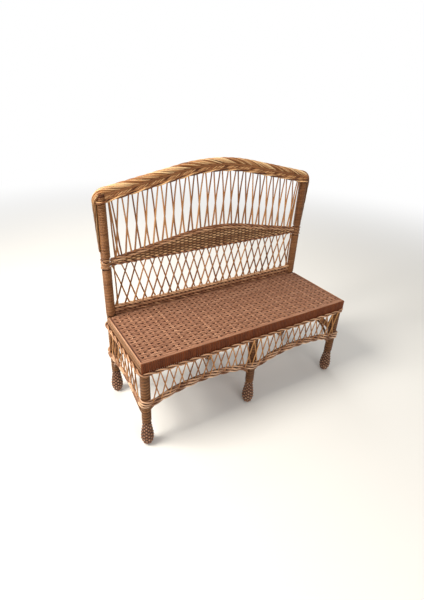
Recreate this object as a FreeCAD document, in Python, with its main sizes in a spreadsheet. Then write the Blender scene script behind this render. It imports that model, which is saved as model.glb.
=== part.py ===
import FreeCAD, Part
import math
import os
from types import SimpleNamespace

import Sketcher
from FreeCAD import Placement, Rotation, Vector

# A garden bench of peeled willow. Bound poles stand on woven bulb feet, a sawn frame carries the
# woven seat, and lattices of thin crossed rods fill the back and the apron under the seat.
# Millimetres, +Z up, the front faces -Y, and the origin is on the floor under the middle.

doc = FreeCAD.newDocument("willow_bench")

# Driving sizes
SIZES = {
    "leg_span": 1062,  # axis of a left leg to axis of a right leg
    "leg_depth": 381,  # axis of a front leg to axis of a back post
    "seat_height": 440,  # floor to the top of the woven seat
    "back_height": 654,  # top of the seat to the crest of the braid
    "pole_diameter": 26,
    "binding_rod": 6,  # willow wound round legs and posts
    "turn_gap": 0.6,  # between neighbouring turns of a winding
    "fit_gap": 0.3,  # between pieces that lie against each other
    "foot_height": 125,
    "foot_bulge": 57,  # widest diameter of a foot
    "foot_bulge_height": 38,
    "foot_sole": 32,  # diameter of the flat under a foot
    "pole_end": 6,  # sole of the foot under the end of its pole
    "rail_height": 37,
    "panel_thickness": 8,
    "edge_strip": 6.5,  # top edge of a side band, beside the panel
    "band_thickness": 3,
    "band_height": 48,  # top of the seat to the lower edge of the bands
    "tenon_diameter": 12,
    "tenon_length": 16,
    "tenon_edge": 10,  # axis of a tenon to the edge of its rail
    "tenon_gap": 0.15,
    "bearer_width": 34,
    "bearer_height": 20,
    "bearer_spacing": 265,
    "seat_border_rod": 18,  # one row of waling along the rear of the seat
    "seat_border_rows": 3,
    "border_rod": 10.4,  # one rod row of the apron borders
    "border_rows": 3,  # rows in a lower border
    "upper_border_drop": 53.5,  # top of the seat to the middle of the upper border
    "lower_border_drop": 202,  # top of the seat to the middle of the lower border at a leg
    "front_arch_rise": 38,
    "side_arch_rise": 28,
    "arch_blend": 60,  # radius that turns a level border into its arch
    "arch_lead": 14,  # level run from a leg's axis to the start of the arch
    "apron_rod": 5,
    "apron_pitch": 38,
    "apron_lean": 36,
    "crown_radius": 950,
    "back_fall": 88.6,  # crest of the back, from its crown down to over a post
    "braid_thickness": 28,
    "braid_width": 38,
    "shoulder_radius": 46,  # middle of the braid where it turns down over a post
    "tail_thickness": 14,
    "tail_width": 30,
    "tail_end_thickness": 5,
    "tail_end_width": 16,
    "tail_length": 200,
    "top_rail_diameter": 24,
    "waling_rod": 11,
    "waling_drop": 9.7,  # axis of the top rail down to the axis of its waling
    "nail_diameter": 3,
    "nail_in_post": 30,
    "nail_in_rail": 14,
    "mid_lift": 236,  # top of the seat to the lower edge of the mid band
    "mid_rise": 114,  # lower edge of the mid band to its crest
    "mid_fall": 78,  # crest of the mid band, from its crown down to a lashing
    "mid_lower_rod": 13,
    "mid_upper_rod": 12,
    "mid_thickness": 10,
    "lash_rod": 7,
    "lash_turns": 5,
    "lash_drop": 8,  # lower edge of the mid band down to the start of its lashing
    "lattice_rod": 6.4,
    "upper_pitch": 43,
    "upper_lean": 29,
    "lower_pitch": 43,
    "lower_lean": 67,
}

# Values worked out from the driving sizes
WORKED = {
    "leg_x": "Sizes.leg_span / 2",
    "leg_y": "Sizes.leg_depth / 2",
    "pole_radius": "Sizes.pole_diameter / 2",
    "bound_radius": "pole_radius + Sizes.fit_gap + Sizes.binding_rod",
    "lashed_radius": "pole_radius + Sizes.fit_gap + Sizes.lash_rod",
    "rail_half": "bound_radius - Sizes.band_thickness - Sizes.fit_gap",
    "rail_top": "Sizes.seat_height - Sizes.panel_thickness",
    "rail_bottom": "rail_top - Sizes.rail_height",
    "rail_end": "rail_half + Sizes.fit_gap",
    "tenon_radius": "Sizes.tenon_diameter / 2",
    "hole_radius": "tenon_radius + Sizes.tenon_gap",
    "hole_depth": "Sizes.tenon_length + Sizes.fit_gap",
    "inner_x": "leg_x - bound_radius - Sizes.fit_gap",
    "lashed_x": "leg_x - lashed_radius - Sizes.fit_gap",
    "seat_row_radius": "Sizes.seat_border_rod / 2",
    "seat_row_pitch": "Sizes.seat_border_rod + Sizes.fit_gap",
    "seat_border_top": "rail_top + Sizes.seat_border_rows * seat_row_pitch",
    "band_bottom": "Sizes.seat_height - Sizes.band_height",
    "panel_x": "leg_x + bound_radius - Sizes.edge_strip - Sizes.fit_gap",
    "panel_front": "leg_y + rail_half",
    "panel_back": "leg_y - seat_row_radius - Sizes.fit_gap",
    "border_radius": "Sizes.border_rod / 2",
    "wrap_radius": "bound_radius + Sizes.fit_gap + border_radius",
    "mid_bottom": "Sizes.seat_height + Sizes.mid_lift",
    "mid_lower_radius": "Sizes.mid_lower_rod / 2",
    "upper_border": "Sizes.seat_height - Sizes.upper_border_drop",
    "lower_border": "Sizes.seat_height - Sizes.lower_border_drop",
}


def fill_sheet(name, cells, prefix=""):
    sheet = doc.addObject("Spreadsheet::Sheet", name)
    for row, (alias, content) in enumerate(cells.items(), 1):
        sheet.set(f"A{row}", alias.replace("_", " "))
        sheet.set(f"B{row}", f"{prefix}{content}")
        sheet.setAlias(f"B{row}", alias)
    doc.recompute()
    return {alias: float(sheet.get(alias)) for alias in cells}


d = SimpleNamespace(**fill_sheet("Sizes", SIZES), **fill_sheet("Worked", WORKED, "="))
pieces = []


def keep(obj, label):
    obj.Label = label
    pieces.append(obj)
    return obj


# Building blocks bound to the sheets
ALONG_X = Rotation(Vector(0, 1, 0), 90)
ALONG_Y = Rotation(Vector(1, 0, 0), -90)
UPRIGHT = Rotation()


def stand(obj, x, y, z):
    for axis, text in zip("xyz", (x, y, z)):
        obj.setExpression(f"Placement.Base.{axis}", text)
    return obj


def block(name, length, width, height, x, y, z):
    obj = doc.addObject("Part::Box", name)
    obj.setExpression("Length", length)
    obj.setExpression("Width", width)
    obj.setExpression("Height", height)
    return stand(obj, x, y, z)


def bar(name, radius, length, x, y, z, turn=UPRIGHT):
    obj = doc.addObject("Part::Cylinder", name)
    obj.setExpression("Radius", radius)
    obj.setExpression("Height", length)
    obj.Placement = Placement(Vector(), turn)
    return stand(obj, x, y, z)


def tenon(name, x, y, z, turn=UPRIGHT):
    return bar(name, "Worked.tenon_radius", "Sizes.tenon_length", x, y, z, turn)


def hole(name, x, y, z, turn=UPRIGHT):
    return bar(name, "Worked.hole_radius", "Worked.hole_depth", x, y, z, turn)


def fuse(name, shapes):
    obj = doc.addObject("Part::MultiFuse", name)
    obj.Shapes = shapes
    return obj


def cut(name, base, tools):
    obj = doc.addObject("Part::Cut", name)
    obj.Base = base
    obj.Tool = fuse(f"{name}_cuts", tools) if len(tools) > 1 else tools[0]
    return obj


def group(name, shapes):
    obj = doc.addObject("Part::Compound", name)
    obj.Links = shapes
    return obj


def formed(label, shape, place=Placement()):
    obj = doc.addObject("Part::Feature", label)
    obj.Shape = shape
    obj.Placement = place
    return keep(obj, label)


# Lines that the woven pieces follow
BACK_PLANE = Placement(Vector(0, d.leg_y, 0), UPRIGHT)


class Arch:
    """The crest of the back or of the mid band: a crown arc between two straight slopes."""

    def __init__(self, crown, fall, half):
        """The slopes are as steep as takes the crest down by `fall` at `half` from the middle."""
        level = d.crown_radius - fall
        self.crown = crown
        self.slope = math.asin(d.crown_radius / math.hypot(half, level)) - math.atan2(level, half)

    def tangent(self, drop):
        radius = d.crown_radius - drop
        height = self.crown - d.crown_radius + radius * math.cos(self.slope)
        return radius * math.sin(self.slope), height

    def height(self, x, drop):
        edge_x, edge_z = self.tangent(drop)
        if abs(x) > edge_x:
            return edge_z - (abs(x) - edge_x) * math.tan(self.slope)
        radius = d.crown_radius - drop
        return self.crown - d.crown_radius + math.sqrt(radius**2 - x**2)

    def square_end(self, half, radius):
        """How far a rod's axis goes when its square-cut end stays within half."""
        return half - radius * math.sin(self.slope)

    def edges(self, half, drop):
        """The line that runs `drop` under the crest, from -half to half."""
        edge_x, edge_z = self.tangent(drop)
        end_z = self.height(half, drop)
        left = Vector(-edge_x, 0, edge_z)
        right = Vector(edge_x, 0, edge_z)
        return [
            Part.LineSegment(Vector(-half, 0, end_z), left).toShape(),
            Part.Arc(left, Vector(0, 0, self.crown - drop), right).toShape(),
            Part.LineSegment(right, Vector(half, 0, end_z)).toShape(),
        ]


back = Arch(d.seat_height + d.back_height, d.back_fall, d.leg_x)
mid = Arch(d.mid_bottom + d.mid_rise, d.mid_fall, d.lashed_x)


def tube(edges, radius):
    """A round rod along joined edges, its volume compared with its section times its length."""
    first = edges[0]
    start = first.FirstParameter
    ring = Part.makeCircle(radius, first.valueAt(start), first.tangentAt(start))
    path = Part.Wire(edges)
    solid = path.makePipeShell([Part.Wire(ring)], True, False)
    share = solid.Volume / (math.pi * radius**2 * path.Length)
    if abs(share - 1) > 0.01:
        raise ValueError(f"a rod has {share:.3f} of its volume")
    return solid


def region(lower, upper, depth):
    """The flat space between two lines that run left to right, as a slab about y = 0."""
    low, high = Part.Wire(lower), Part.Wire(upper)
    low_left, low_right = low.OrderedVertexes[0].Point, low.OrderedVertexes[-1].Point
    high_left, high_right = high.OrderedVertexes[0].Point, high.OrderedVertexes[-1].Point
    sides = [
        Part.LineSegment(low_left, high_left).toShape(),
        Part.LineSegment(low_right, high_right).toShape(),
    ]
    outline = Part.Wire(Part.__sortEdges__(lower + upper + sides))
    slab = Part.Face(outline).extrude(Vector(0, depth, 0))
    slab.translate(Vector(0, -depth / 2, 0))
    return slab


def leaning_rods(space, half, pitch, lean, radius, y, hand, low, high):
    """Parallel rods that lean to one hand, each cut off by the lines that hold its two ends."""
    count = int((2 * (half - radius) - lean) / pitch) + 1
    first = -((count - 1) * pitch + lean) / 2
    rods = []
    for number in range(count):
        foot_x = first + number * pitch
        head_x = foot_x + lean
        foot = Vector(hand * foot_x, y, low(foot_x))
        head = Vector(hand * head_x, y, high(head_x))
        spare = (head - foot).normalize() * (4 * radius)
        long_rod = Part.makeCylinder(radius, (head - foot + spare * 2).Length, foot - spare, spare)
        rods += long_rod.common(space).Solids
    return rods


# Feet: woven bulbs, each with a flat sole and a socket for the end of its pole
def foot(label, x, y):
    body = doc.addObject("PartDesign::Body", label)
    sketch = body.newObject("Sketcher::SketchObject", f"{label}_profile")
    plane = next(o for o in body.Origin.OriginFeatures if o.Role == "XZ_Plane")
    sketch.AttachmentSupport = [(plane, "")]
    sketch.MapMode = "FlatFace"
    sole, bulge, bulge_z = d.foot_sole / 2, d.foot_bulge / 2, d.foot_bulge_height
    neck, top, socket = d.bound_radius, d.foot_height, d.pole_radius + d.tenon_gap
    low_radius = ((bulge - sole) ** 2 + bulge_z**2) / (2 * (bulge - sole))
    low_middle = math.asin(bulge_z / low_radius) / 2
    neck_radius = ((bulge - neck) ** 2 + (top - bulge_z) ** 2) / (4 * (bulge - neck))
    neck_middle = math.asin((top - bulge_z) / 2 / neck_radius) / 2
    sag = neck_radius * (1 - math.cos(neck_middle))
    climb = neck_radius * math.sin(neck_middle)
    belly = Vector(
        bulge - low_radius * (1 - math.cos(low_middle)),
        bulge_z - low_radius * math.sin(low_middle),
        0,
    )
    widest = Vector(bulge, bulge_z, 0)
    waist = Vector((bulge + neck) / 2, (bulge_z + top) / 2, 0)
    corners = [
        Vector(neck, top, 0),
        Vector(socket, top, 0),
        Vector(socket, d.pole_end, 0),
        Vector(0, d.pole_end, 0),
        Vector(0, 0, 0),
        Vector(sole, 0, 0),
    ]
    curves = [
        Part.Arc(corners[-1], belly, widest),
        Part.Arc(widest, Vector(bulge - sag, bulge_z + climb, 0), waist),
        Part.Arc(waist, Vector(neck + sag, top - climb, 0), corners[0]),
    ]
    lines = [Part.LineSegment(a, b) for a, b in zip(corners, corners[1:])]
    sketch.addGeometry(curves + lines, False)
    CENTRE, START, END = 3, 1, 2
    LOW, HIGH, NECK, RIM, WALL, FLOOR, AXIS, SOLE = range(8)

    def ends_of(curve, point):
        return START if (sketch.getPoint(curve, START) - point).Length < d.tenon_gap else END

    joints = [
        (LOW, HIGH, widest),
        (HIGH, NECK, waist),
        (NECK, RIM, corners[0]),
        (RIM, WALL, corners[1]),
        (WALL, FLOOR, corners[2]),
        (FLOOR, AXIS, corners[3]),
        (AXIS, SOLE, corners[4]),
        (SOLE, LOW, corners[5]),
    ]
    for one, other, point in joints:
        pair = (one, ends_of(one, point), other, ends_of(other, point))
        kind = "Tangent" if one == HIGH else "Coincident"
        sketch.addConstraint(Sketcher.Constraint(kind, *pair))
    for line, kind in ((RIM, "Horizontal"), (WALL, "Vertical"), (FLOOR, "Horizontal")):
        sketch.addConstraint(Sketcher.Constraint(kind, line))
    for line, kind in ((AXIS, "Vertical"), (SOLE, "Horizontal")):
        sketch.addConstraint(Sketcher.Constraint(kind, line))
    origin = (SOLE, ends_of(SOLE, corners[4]), -1, START)
    sketch.addConstraint(Sketcher.Constraint("Coincident", *origin))
    for curve, point in ((LOW, widest), (HIGH, widest), (NECK, corners[0])):
        level = (curve, CENTRE, curve, ends_of(curve, point))
        sketch.addConstraint(Sketcher.Constraint("Horizontal", *level))
    sketch.addConstraint(Sketcher.Constraint("Equal", HIGH, NECK))
    measures = [
        ("sole", "DistanceX", SOLE, corners[5], sole, "Sizes.foot_sole / 2"),
        ("bulge", "DistanceX", LOW, widest, bulge, "Sizes.foot_bulge / 2"),
        ("bulge_level", "DistanceY", LOW, widest, bulge_z, "Sizes.foot_bulge_height"),
        ("neck", "DistanceX", NECK, corners[0], neck, "Worked.bound_radius"),
        ("top", "DistanceY", NECK, corners[0], top, "Sizes.foot_height"),
        ("socket", "DistanceX", WALL, corners[2], socket, "Worked.pole_radius + Sizes.tenon_gap"),
        ("socket_floor", "DistanceY", WALL, corners[2], d.pole_end, "Sizes.pole_end"),
    ]
    for name, kind, curve, point, value, text in measures:
        measure = Sketcher.Constraint(kind, -1, START, curve, ends_of(curve, point), value)
        sketch.renameConstraint(sketch.addConstraint(measure), name)
        sketch.setExpression(f"Constraints.{name}", text)
    turned = body.newObject("PartDesign::Revolution", f"{label}_turned")
    turned.Profile = sketch
    turned.ReferenceAxis = (sketch, ["V_Axis"])
    turned.Angle = 360
    return keep(stand(body, x, y, "0"), label)


# Where the six poles stand, as a side (-1 left, 1 right) and a row (-1 front, 1 rear)
STANDS = {
    "front_left": (-1, -1),
    "front_centre": (0, -1),
    "front_right": (1, -1),
    "rear_left": (-1, 1),
    "rear_centre": (0, 1),
    "rear_right": (1, 1),
}
LEFT, RIGHT, MIDDLE = "-1 * Worked.leg_x", "1 * Worked.leg_x", "0"
FRONT, REAR = "-1 * Worked.leg_y", "1 * Worked.leg_y"


def axis_of(corner):
    side, row = STANDS[corner]
    return f"{side} * Worked.leg_x", f"{row} * Worked.leg_y"


for corner in STANDS:
    foot(f"{corner}_foot", *axis_of(corner))


# Legs: poles that end in a tenon under their seat rail
def leg(label, x, y):
    length = "Worked.rail_bottom - Sizes.pole_end"
    pole = bar(f"{label}_pole", "Worked.pole_radius", length, x, y, "Sizes.pole_end")
    top = tenon(f"{label}_tenon", x, y, "Worked.rail_bottom")
    return keep(fuse(label, [pole, top]), label)


for corner in ("front_left", "front_centre", "front_right", "rear_centre"):
    leg(f"{corner}_leg", *axis_of(corner))

# Back posts: poles from the floor to the top rail, with mortises for two seat rails
rail_drop = d.braid_thickness + d.fit_gap
under_rail = rail_drop + d.top_rail_diameter + d.fit_gap
post_top = back.height(d.leg_x, under_rail)
SIDE_TENON = "Worked.rail_top - Sizes.tenon_edge"
REAR_TENON = "Worked.rail_bottom + Sizes.tenon_edge"
NAIL_LENGTH = "Sizes.nail_in_post + Sizes.nail_in_rail"
NAIL_FOOT = f"{post_top} - Sizes.nail_in_post"
NAIL_BORE = "Sizes.nail_diameter / 2 + Sizes.tenon_gap"


def post(label, x, hand):
    height = f"{post_top} + Sizes.pole_diameter - Sizes.pole_end"
    pole = bar(f"{label}_pole", "Worked.pole_radius", height, x, REAR, "Sizes.pole_end")
    front = hole(f"{label}_front_mortise", x, "Worked.leg_y - Worked.rail_end", SIDE_TENON, ALONG_Y)
    mouth = f"{x} - {hand} * Worked.rail_end"
    start = mouth if hand > 0 else f"{mouth} - Worked.hole_depth"
    inner = hole(f"{label}_inner_mortise", start, REAR, REAR_TENON, ALONG_X)
    nail = bar(f"{label}_nail_hole", NAIL_BORE, NAIL_LENGTH, x, REAR, NAIL_FOOT)
    slope = Rotation(Vector(0, 1, 0), hand * math.degrees(back.slope))
    saw = doc.addObject("Part::Box", f"{label}_saw")
    for side in ("Length", "Width", "Height"):
        saw.setExpression(side, "Sizes.pole_diameter * 3")
    corner = Vector(-1, -1, 0) * (d.pole_diameter * 3 / 2)
    saw.Placement = Placement(Vector(hand * d.leg_x, d.leg_y, post_top) + slope.multVec(corner), slope)
    return keep(cut(label, pole, [front, inner, saw, nail]), label)


post("left_back_post", LEFT, -1)
post("right_back_post", RIGHT, 1)

# Seat rails and bearers: sawn wood with round tenons
BEARERS = ("-Sizes.bearer_spacing", "0", "Sizes.bearer_spacing")
BEARER_AXIS = "Worked.rail_top - Sizes.bearer_height / 2"
RAIL_DEPTH = "2 * Worked.rail_half"
FRONT_RAIL_BACK = "-Worked.leg_y + Worked.rail_half"
REAR_RAIL_FRONT = "Worked.leg_y - Worked.rail_half"

front_board = block(
    "front_board",
    "2 * (Worked.leg_x + Worked.rail_half)",
    RAIL_DEPTH,
    "Sizes.rail_height",
    "-Worked.leg_x - Worked.rail_half",
    "-Worked.leg_y - Worked.rail_half",
    "Worked.rail_bottom",
)
front_holes = []
for number, x in enumerate((LEFT, MIDDLE, RIGHT)):
    front_holes.append(hole(f"front_leg_hole_{number}", x, FRONT, "Worked.rail_bottom"))
for number, x in enumerate(BEARERS):
    mouth = f"{FRONT_RAIL_BACK} - Worked.hole_depth"
    front_holes.append(hole(f"front_bearer_hole_{number}", x, mouth, BEARER_AXIS, ALONG_Y))
for number, x in enumerate((LEFT, RIGHT)):
    mouth = f"{FRONT_RAIL_BACK} - Worked.hole_depth"
    front_holes.append(hole(f"front_side_hole_{number}", x, mouth, SIDE_TENON, ALONG_Y))
keep(cut("front_seat_rail", front_board, front_holes), "front_seat_rail")

REAR_RAIL_HALF = "(Worked.leg_x - Worked.rail_end)"
rear_board = block(
    "rear_board",
    f"2 * {REAR_RAIL_HALF}",
    RAIL_DEPTH,
    "Sizes.rail_height",
    f"-{REAR_RAIL_HALF}",
    REAR_RAIL_FRONT,
    "Worked.rail_bottom",
)
rear_tenons = [
    tenon("rear_left_tenon", f"-{REAR_RAIL_HALF} - Sizes.tenon_length", REAR, REAR_TENON, ALONG_X),
    tenon("rear_right_tenon", REAR_RAIL_HALF, REAR, REAR_TENON, ALONG_X),
]
rear_holes = [hole("rear_leg_hole", MIDDLE, REAR, "Worked.rail_bottom")]
for number, x in enumerate(BEARERS):
    rear_holes.append(hole(f"rear_bearer_hole_{number}", x, REAR_RAIL_FRONT, BEARER_AXIS, ALONG_Y))
rear_bar = fuse("rear_bar", [rear_board, *rear_tenons])
keep(cut("rear_seat_rail", rear_bar, rear_holes), "rear_seat_rail")


def side_rail(label, x):
    length = "2 * Worked.leg_y - Worked.rail_half - Worked.rail_end"
    start = FRONT_RAIL_BACK
    board = block(
        f"{label}_board",
        RAIL_DEPTH,
        length,
        "Sizes.rail_height",
        f"{x} - Worked.rail_half",
        start,
        "Worked.rail_bottom",
    )
    ends = [
        tenon(f"{label}_front", x, f"{start} - Sizes.tenon_length", SIDE_TENON, ALONG_Y),
        tenon(f"{label}_rear", x, "Worked.leg_y - Worked.rail_end", SIDE_TENON, ALONG_Y),
    ]
    return keep(fuse(label, [board, *ends]), label)


side_rail("left_seat_rail", LEFT)
side_rail("right_seat_rail", RIGHT)


def bearer(label, x):
    length = "2 * (Worked.leg_y - Worked.rail_half)"
    base = "Worked.rail_top - Sizes.bearer_height"
    corner = f"{x} - Sizes.bearer_width / 2"
    size = ("Sizes.bearer_width", length, "Sizes.bearer_height")
    board = block(f"{label}_board", *size, corner, FRONT_RAIL_BACK, base)
    start = f"{FRONT_RAIL_BACK} - Sizes.tenon_length"
    ends = [
        tenon(f"{label}_front", x, start, BEARER_AXIS, ALONG_Y),
        tenon(f"{label}_rear", x, REAR_RAIL_FRONT, BEARER_AXIS, ALONG_Y),
    ]
    return keep(fuse(label, [board, *ends]), label)


for side, x in zip(("left", "centre", "right"), BEARERS):
    bearer(f"{side}_seat_bearer", x)

# Woven seat panel, notched round the posts
panel_board = block(
    "panel_board",
    "2 * Worked.panel_x",
    "Worked.panel_front + Worked.panel_back",
    "Sizes.panel_thickness",
    "-Worked.panel_x",
    "-Worked.panel_front",
    "Worked.rail_top",
)
NOTCH = "(2 * Worked.bound_radius)"
NOTCH_FRONT = "Worked.leg_y - Worked.bound_radius - Sizes.fit_gap"
notches = [
    block("left_notch", NOTCH, NOTCH, NOTCH, f"-Worked.inner_x - {NOTCH}", NOTCH_FRONT, "Worked.rail_top"),
    block("right_notch", NOTCH, NOTCH, NOTCH, "Worked.inner_x", NOTCH_FRONT, "Worked.rail_top"),
]
keep(cut("seat_panel", panel_board, notches), "seat_panel")

# Bands of close strips that cover the rails
BAND = ("Sizes.band_thickness", "Sizes.band_height")
FACE_X = "(Worked.leg_x + Worked.bound_radius)"
front_band = block(
    "front_band",
    f"2 * {FACE_X}",
    *BAND,
    f"-{FACE_X}",
    "-Worked.leg_y - Worked.bound_radius",
    "Worked.band_bottom",
)
keep(front_band, "front_seat_band")
rear_band = block(
    "rear_band",
    "2 * (Worked.leg_x - Sizes.fit_gap)",
    *BAND,
    "-Worked.leg_x + Sizes.fit_gap",
    "Worked.leg_y + Worked.bound_radius - Sizes.band_thickness",
    "Worked.band_bottom",
)
keep(rear_band, "rear_seat_band")


def side_band(label, hand):
    """Along the side rail and round the outside of the post, with a strip on top of the rail."""
    outer, inner = d.bound_radius, d.bound_radius - d.band_thickness
    front = -d.leg_y - outer + d.band_thickness + d.fit_gap
    slant = math.sqrt(0.5)

    def at(radius, x_share, y_share):
        return Vector(hand * (d.leg_x + radius * x_share), d.leg_y + radius * y_share, d.band_bottom)

    outer_start, outer_end = at(outer, 1, 0), at(outer, 0, 1)
    inner_start, inner_end = at(inner, 1, 0), at(inner, 0, 1)
    outer_front = Vector(outer_start.x, front, d.band_bottom)
    inner_front = Vector(inner_start.x, front, d.band_bottom)
    outline = Part.Wire(
        [
            Part.LineSegment(outer_front, outer_start).toShape(),
            Part.Arc(outer_start, at(outer, slant, slant), outer_end).toShape(),
            Part.LineSegment(outer_end, inner_end).toShape(),
            Part.Arc(inner_end, at(inner, slant, slant), inner_start).toShape(),
            Part.LineSegment(inner_start, inner_front).toShape(),
            Part.LineSegment(inner_front, outer_front).toShape(),
        ]
    )
    wall = Part.Face(outline).extrude(Vector(0, 0, d.band_height))
    strip_width = d.edge_strip - d.band_thickness / 2
    strip_length = d.leg_y - outer - d.fit_gap - front
    strip = Part.makeBox(strip_width, strip_length, d.panel_thickness - d.fit_gap)
    strip_x = d.leg_x + outer - d.edge_strip
    corner_x = strip_x if hand > 0 else -strip_x - strip_width
    strip.translate(Vector(corner_x, front, d.rail_top + d.fit_gap))
    return formed(label, wall.fuse(strip).removeSplitter())


side_band("left_seat_band", -1)
side_band("right_seat_band", 1)

# Rear seat border: rows of waling on the rear rail, between the posts
rows = []
for number in range(int(d.seat_border_rows)):
    level = f"Worked.rail_top + {number + 0.5} * Worked.seat_row_pitch"
    half = "Worked.inner_x"
    row = bar(f"seat_row_{number}", "Worked.seat_row_radius", f"2 * {half}", f"-{half}", REAR, level, ALONG_X)
    rows.append(row)
keep(group("rear_seat_border", rows), "rear_seat_border")

# Braid over the top rail: it turns down over the posts and ends in a flat tail on each
tail_inner = d.leg_x + d.bound_radius + d.fit_gap
tail_x = tail_inner + d.tail_thickness / 2
braid_drop = d.braid_thickness / 2
turn = math.pi / 2 - back.slope
reach = d.shoulder_radius * math.tan(turn / 2)
shoulder_z = back.height(tail_x, braid_drop) - reach
shoulder_x = tail_x - d.shoulder_radius
tail_bottom = shoulder_z - d.tail_length


def oval(centre, out, thickness, width):
    """A cross-section of the braid: its thickness lies along `out`, its width along Y."""
    side = centre + Vector(0, width / 2, 0)
    return Part.Wire(Part.Ellipse(side, centre + out * (thickness / 2), centre).toShape())


def braid_end(hand):
    sections = []
    steps = 3
    for step in range(steps + 1):
        share = step / steps
        angle = back.slope + share * turn
        out = Vector(hand * math.sin(angle), 0, math.cos(angle))
        centre = Vector(hand * shoulder_x, 0, shoulder_z) + out * d.shoulder_radius
        thickness = d.braid_thickness + share * (d.tail_thickness - d.braid_thickness)
        width = d.braid_width + share * (d.tail_width - d.braid_width)
        sections.append(oval(centre, out, thickness, width))
    tip = Vector(hand * (tail_inner + d.tail_end_thickness / 2), 0, tail_bottom)
    tail_tip = oval(tip, Vector(hand, 0, 0), d.tail_end_thickness, d.tail_end_width)
    shoulder = Part.makeLoft(sections, True, False)
    return shoulder.fuse(Part.makeLoft([sections[-1], tail_tip], True, True))


braid_half = shoulder_x + d.shoulder_radius * math.sin(back.slope)
braid_line = back.edges(braid_half, braid_drop)
start_out = Vector(-math.sin(back.slope), 0, math.cos(back.slope))
start_point = braid_line[0].valueAt(braid_line[0].FirstParameter)
start_oval = oval(start_point, start_out, d.braid_thickness, d.braid_width)
braid = Part.Wire(braid_line).makePipeShell([start_oval], True, False)
formed("top_braid", braid.fuse([braid_end(-1), braid_end(1)]).removeSplitter(), BACK_PLANE)

# Top rail: a bent pole on the posts, rounded off under the shoulders of the braid
rail_axis = rail_drop + d.top_rail_diameter / 2
long_rail = tube(back.edges(tail_inner, rail_axis), d.top_rail_diameter / 2)
rounding = d.shoulder_radius - braid_drop - d.fit_gap
depth = 2 * d.top_rail_diameter
across = Vector(0, 1, 0)
shoulders = [Vector(hand * shoulder_x, -depth / 2, shoulder_z) for hand in (-1, 1)]
ends = [Part.makeCylinder(rounding, depth, centre, across) for centre in shoulders]
far = d.back_height / 2
fan = []
for centre, hand in ((shoulders[0], -1), (shoulders[1], 1)):
    out = Vector(hand * math.sin(back.slope), 0, math.cos(back.slope)) * far
    fan.append((centre + out, centre - out))
corners = [fan[0][0], fan[1][0], fan[1][1], fan[0][1], fan[0][0]]
span = Part.Face(Part.makePolygon(corners)).extrude(across * depth)
rounded_rail = long_rail.common(span.fuse(ends))
nail_bottom = post_top - d.nail_in_post
nail_length = d.nail_in_post + d.nail_in_rail
for hand in (-1, 1):
    nail_foot = Vector(hand * d.leg_x, 0, nail_bottom)
    bore = Part.makeCylinder(d.nail_diameter / 2 + d.tenon_gap, nail_length, nail_foot)
    rounded_rail = rounded_rail.cut(bore)
formed("top_rail", rounded_rail, BACK_PLANE)

NAIL = ("Sizes.nail_diameter / 2", NAIL_LENGTH)
nails = [bar(f"nail_{n}", *NAIL, x, REAR, NAIL_FOOT) for n, x in enumerate((LEFT, RIGHT))]
keep(group("top_rail_nails", nails), "top_rail_nails")

# Waling rows that hold the heads of the lattice, in front of and behind the top rail
waling_radius = d.waling_rod / 2
row_apart = (d.top_rail_diameter + d.waling_rod) / 2 + d.fit_gap
row_y = math.sqrt(row_apart**2 - d.waling_drop**2)
waling_half = back.square_end(d.inner_x, waling_radius)
waling = tube(back.edges(waling_half, rail_axis + d.waling_drop), waling_radius)
waling_rows = [waling.translated(Vector(0, side * row_y, 0)) for side in (-1, 1)]
formed("top_waling", Part.makeCompound(waling_rows), BACK_PLANE)

# Mid band: close weave between an arched upper border and a straight lower one
upper_radius = d.mid_upper_rod / 2
upper_line = mid.edges(mid.square_end(d.lashed_x, upper_radius), upper_radius)
formed("mid_upper_border", tube(upper_line, upper_radius), BACK_PLANE)
LOWER_ROD = ("Worked.mid_lower_radius", "2 * Worked.lashed_x")
LOWER_END = ("-Worked.lashed_x", REAR, "Worked.mid_bottom + Worked.mid_lower_radius")
keep(bar("mid_lower_rod", *LOWER_ROD, *LOWER_END, ALONG_X), "mid_lower_border")
band_low = d.mid_bottom + d.mid_lower_rod + d.fit_gap
band_top = mid.edges(d.lashed_x, d.mid_upper_rod + d.fit_gap)


def level_line(half, z):
    return Part.LineSegment(Vector(-half, 0, z), Vector(half, 0, z)).toShape()


weave = region([level_line(d.lashed_x, band_low)], band_top, d.mid_thickness)
formed("mid_band", weave, BACK_PLANE)

# Back lattices: rods leaning right in front, rods leaning left behind them
lattice_radius = d.lattice_rod / 2
lattice_y = lattice_radius + d.fit_gap / 2
slab_depth = 4 * d.lattice_rod


def back_lattice(name, space, pitch, lean, low, high):
    layers = (("front", -lattice_y, 1), ("rear", lattice_y, -1))
    for layer, y, hand in layers:
        rods = leaning_rods(space, d.inner_x, pitch, lean, lattice_radius, y, hand, low, high)
        formed(f"{name}_{layer}_rods", Part.makeCompound(rods), BACK_PLANE)


upper_space = region(
    mid.edges(d.inner_x, -d.fit_gap),
    back.edges(d.inner_x, under_rail),
    slab_depth,
)
back_lattice(
    "upper_lattice",
    upper_space,
    d.upper_pitch,
    d.upper_lean,
    lambda x: mid.height(x, 0),
    lambda x: back.height(x, under_rail),
)
lower_floor = d.seat_border_top
lower_roof = d.mid_bottom - d.fit_gap
lower_space = region(
    [level_line(d.inner_x, lower_floor)],
    [level_line(d.inner_x, lower_roof)],
    slab_depth,
)
back_lattice(
    "lower_lattice",
    lower_space,
    d.lower_pitch,
    d.lower_lean,
    lambda x: lower_floor,
    lambda x: lower_roof,
)

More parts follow.
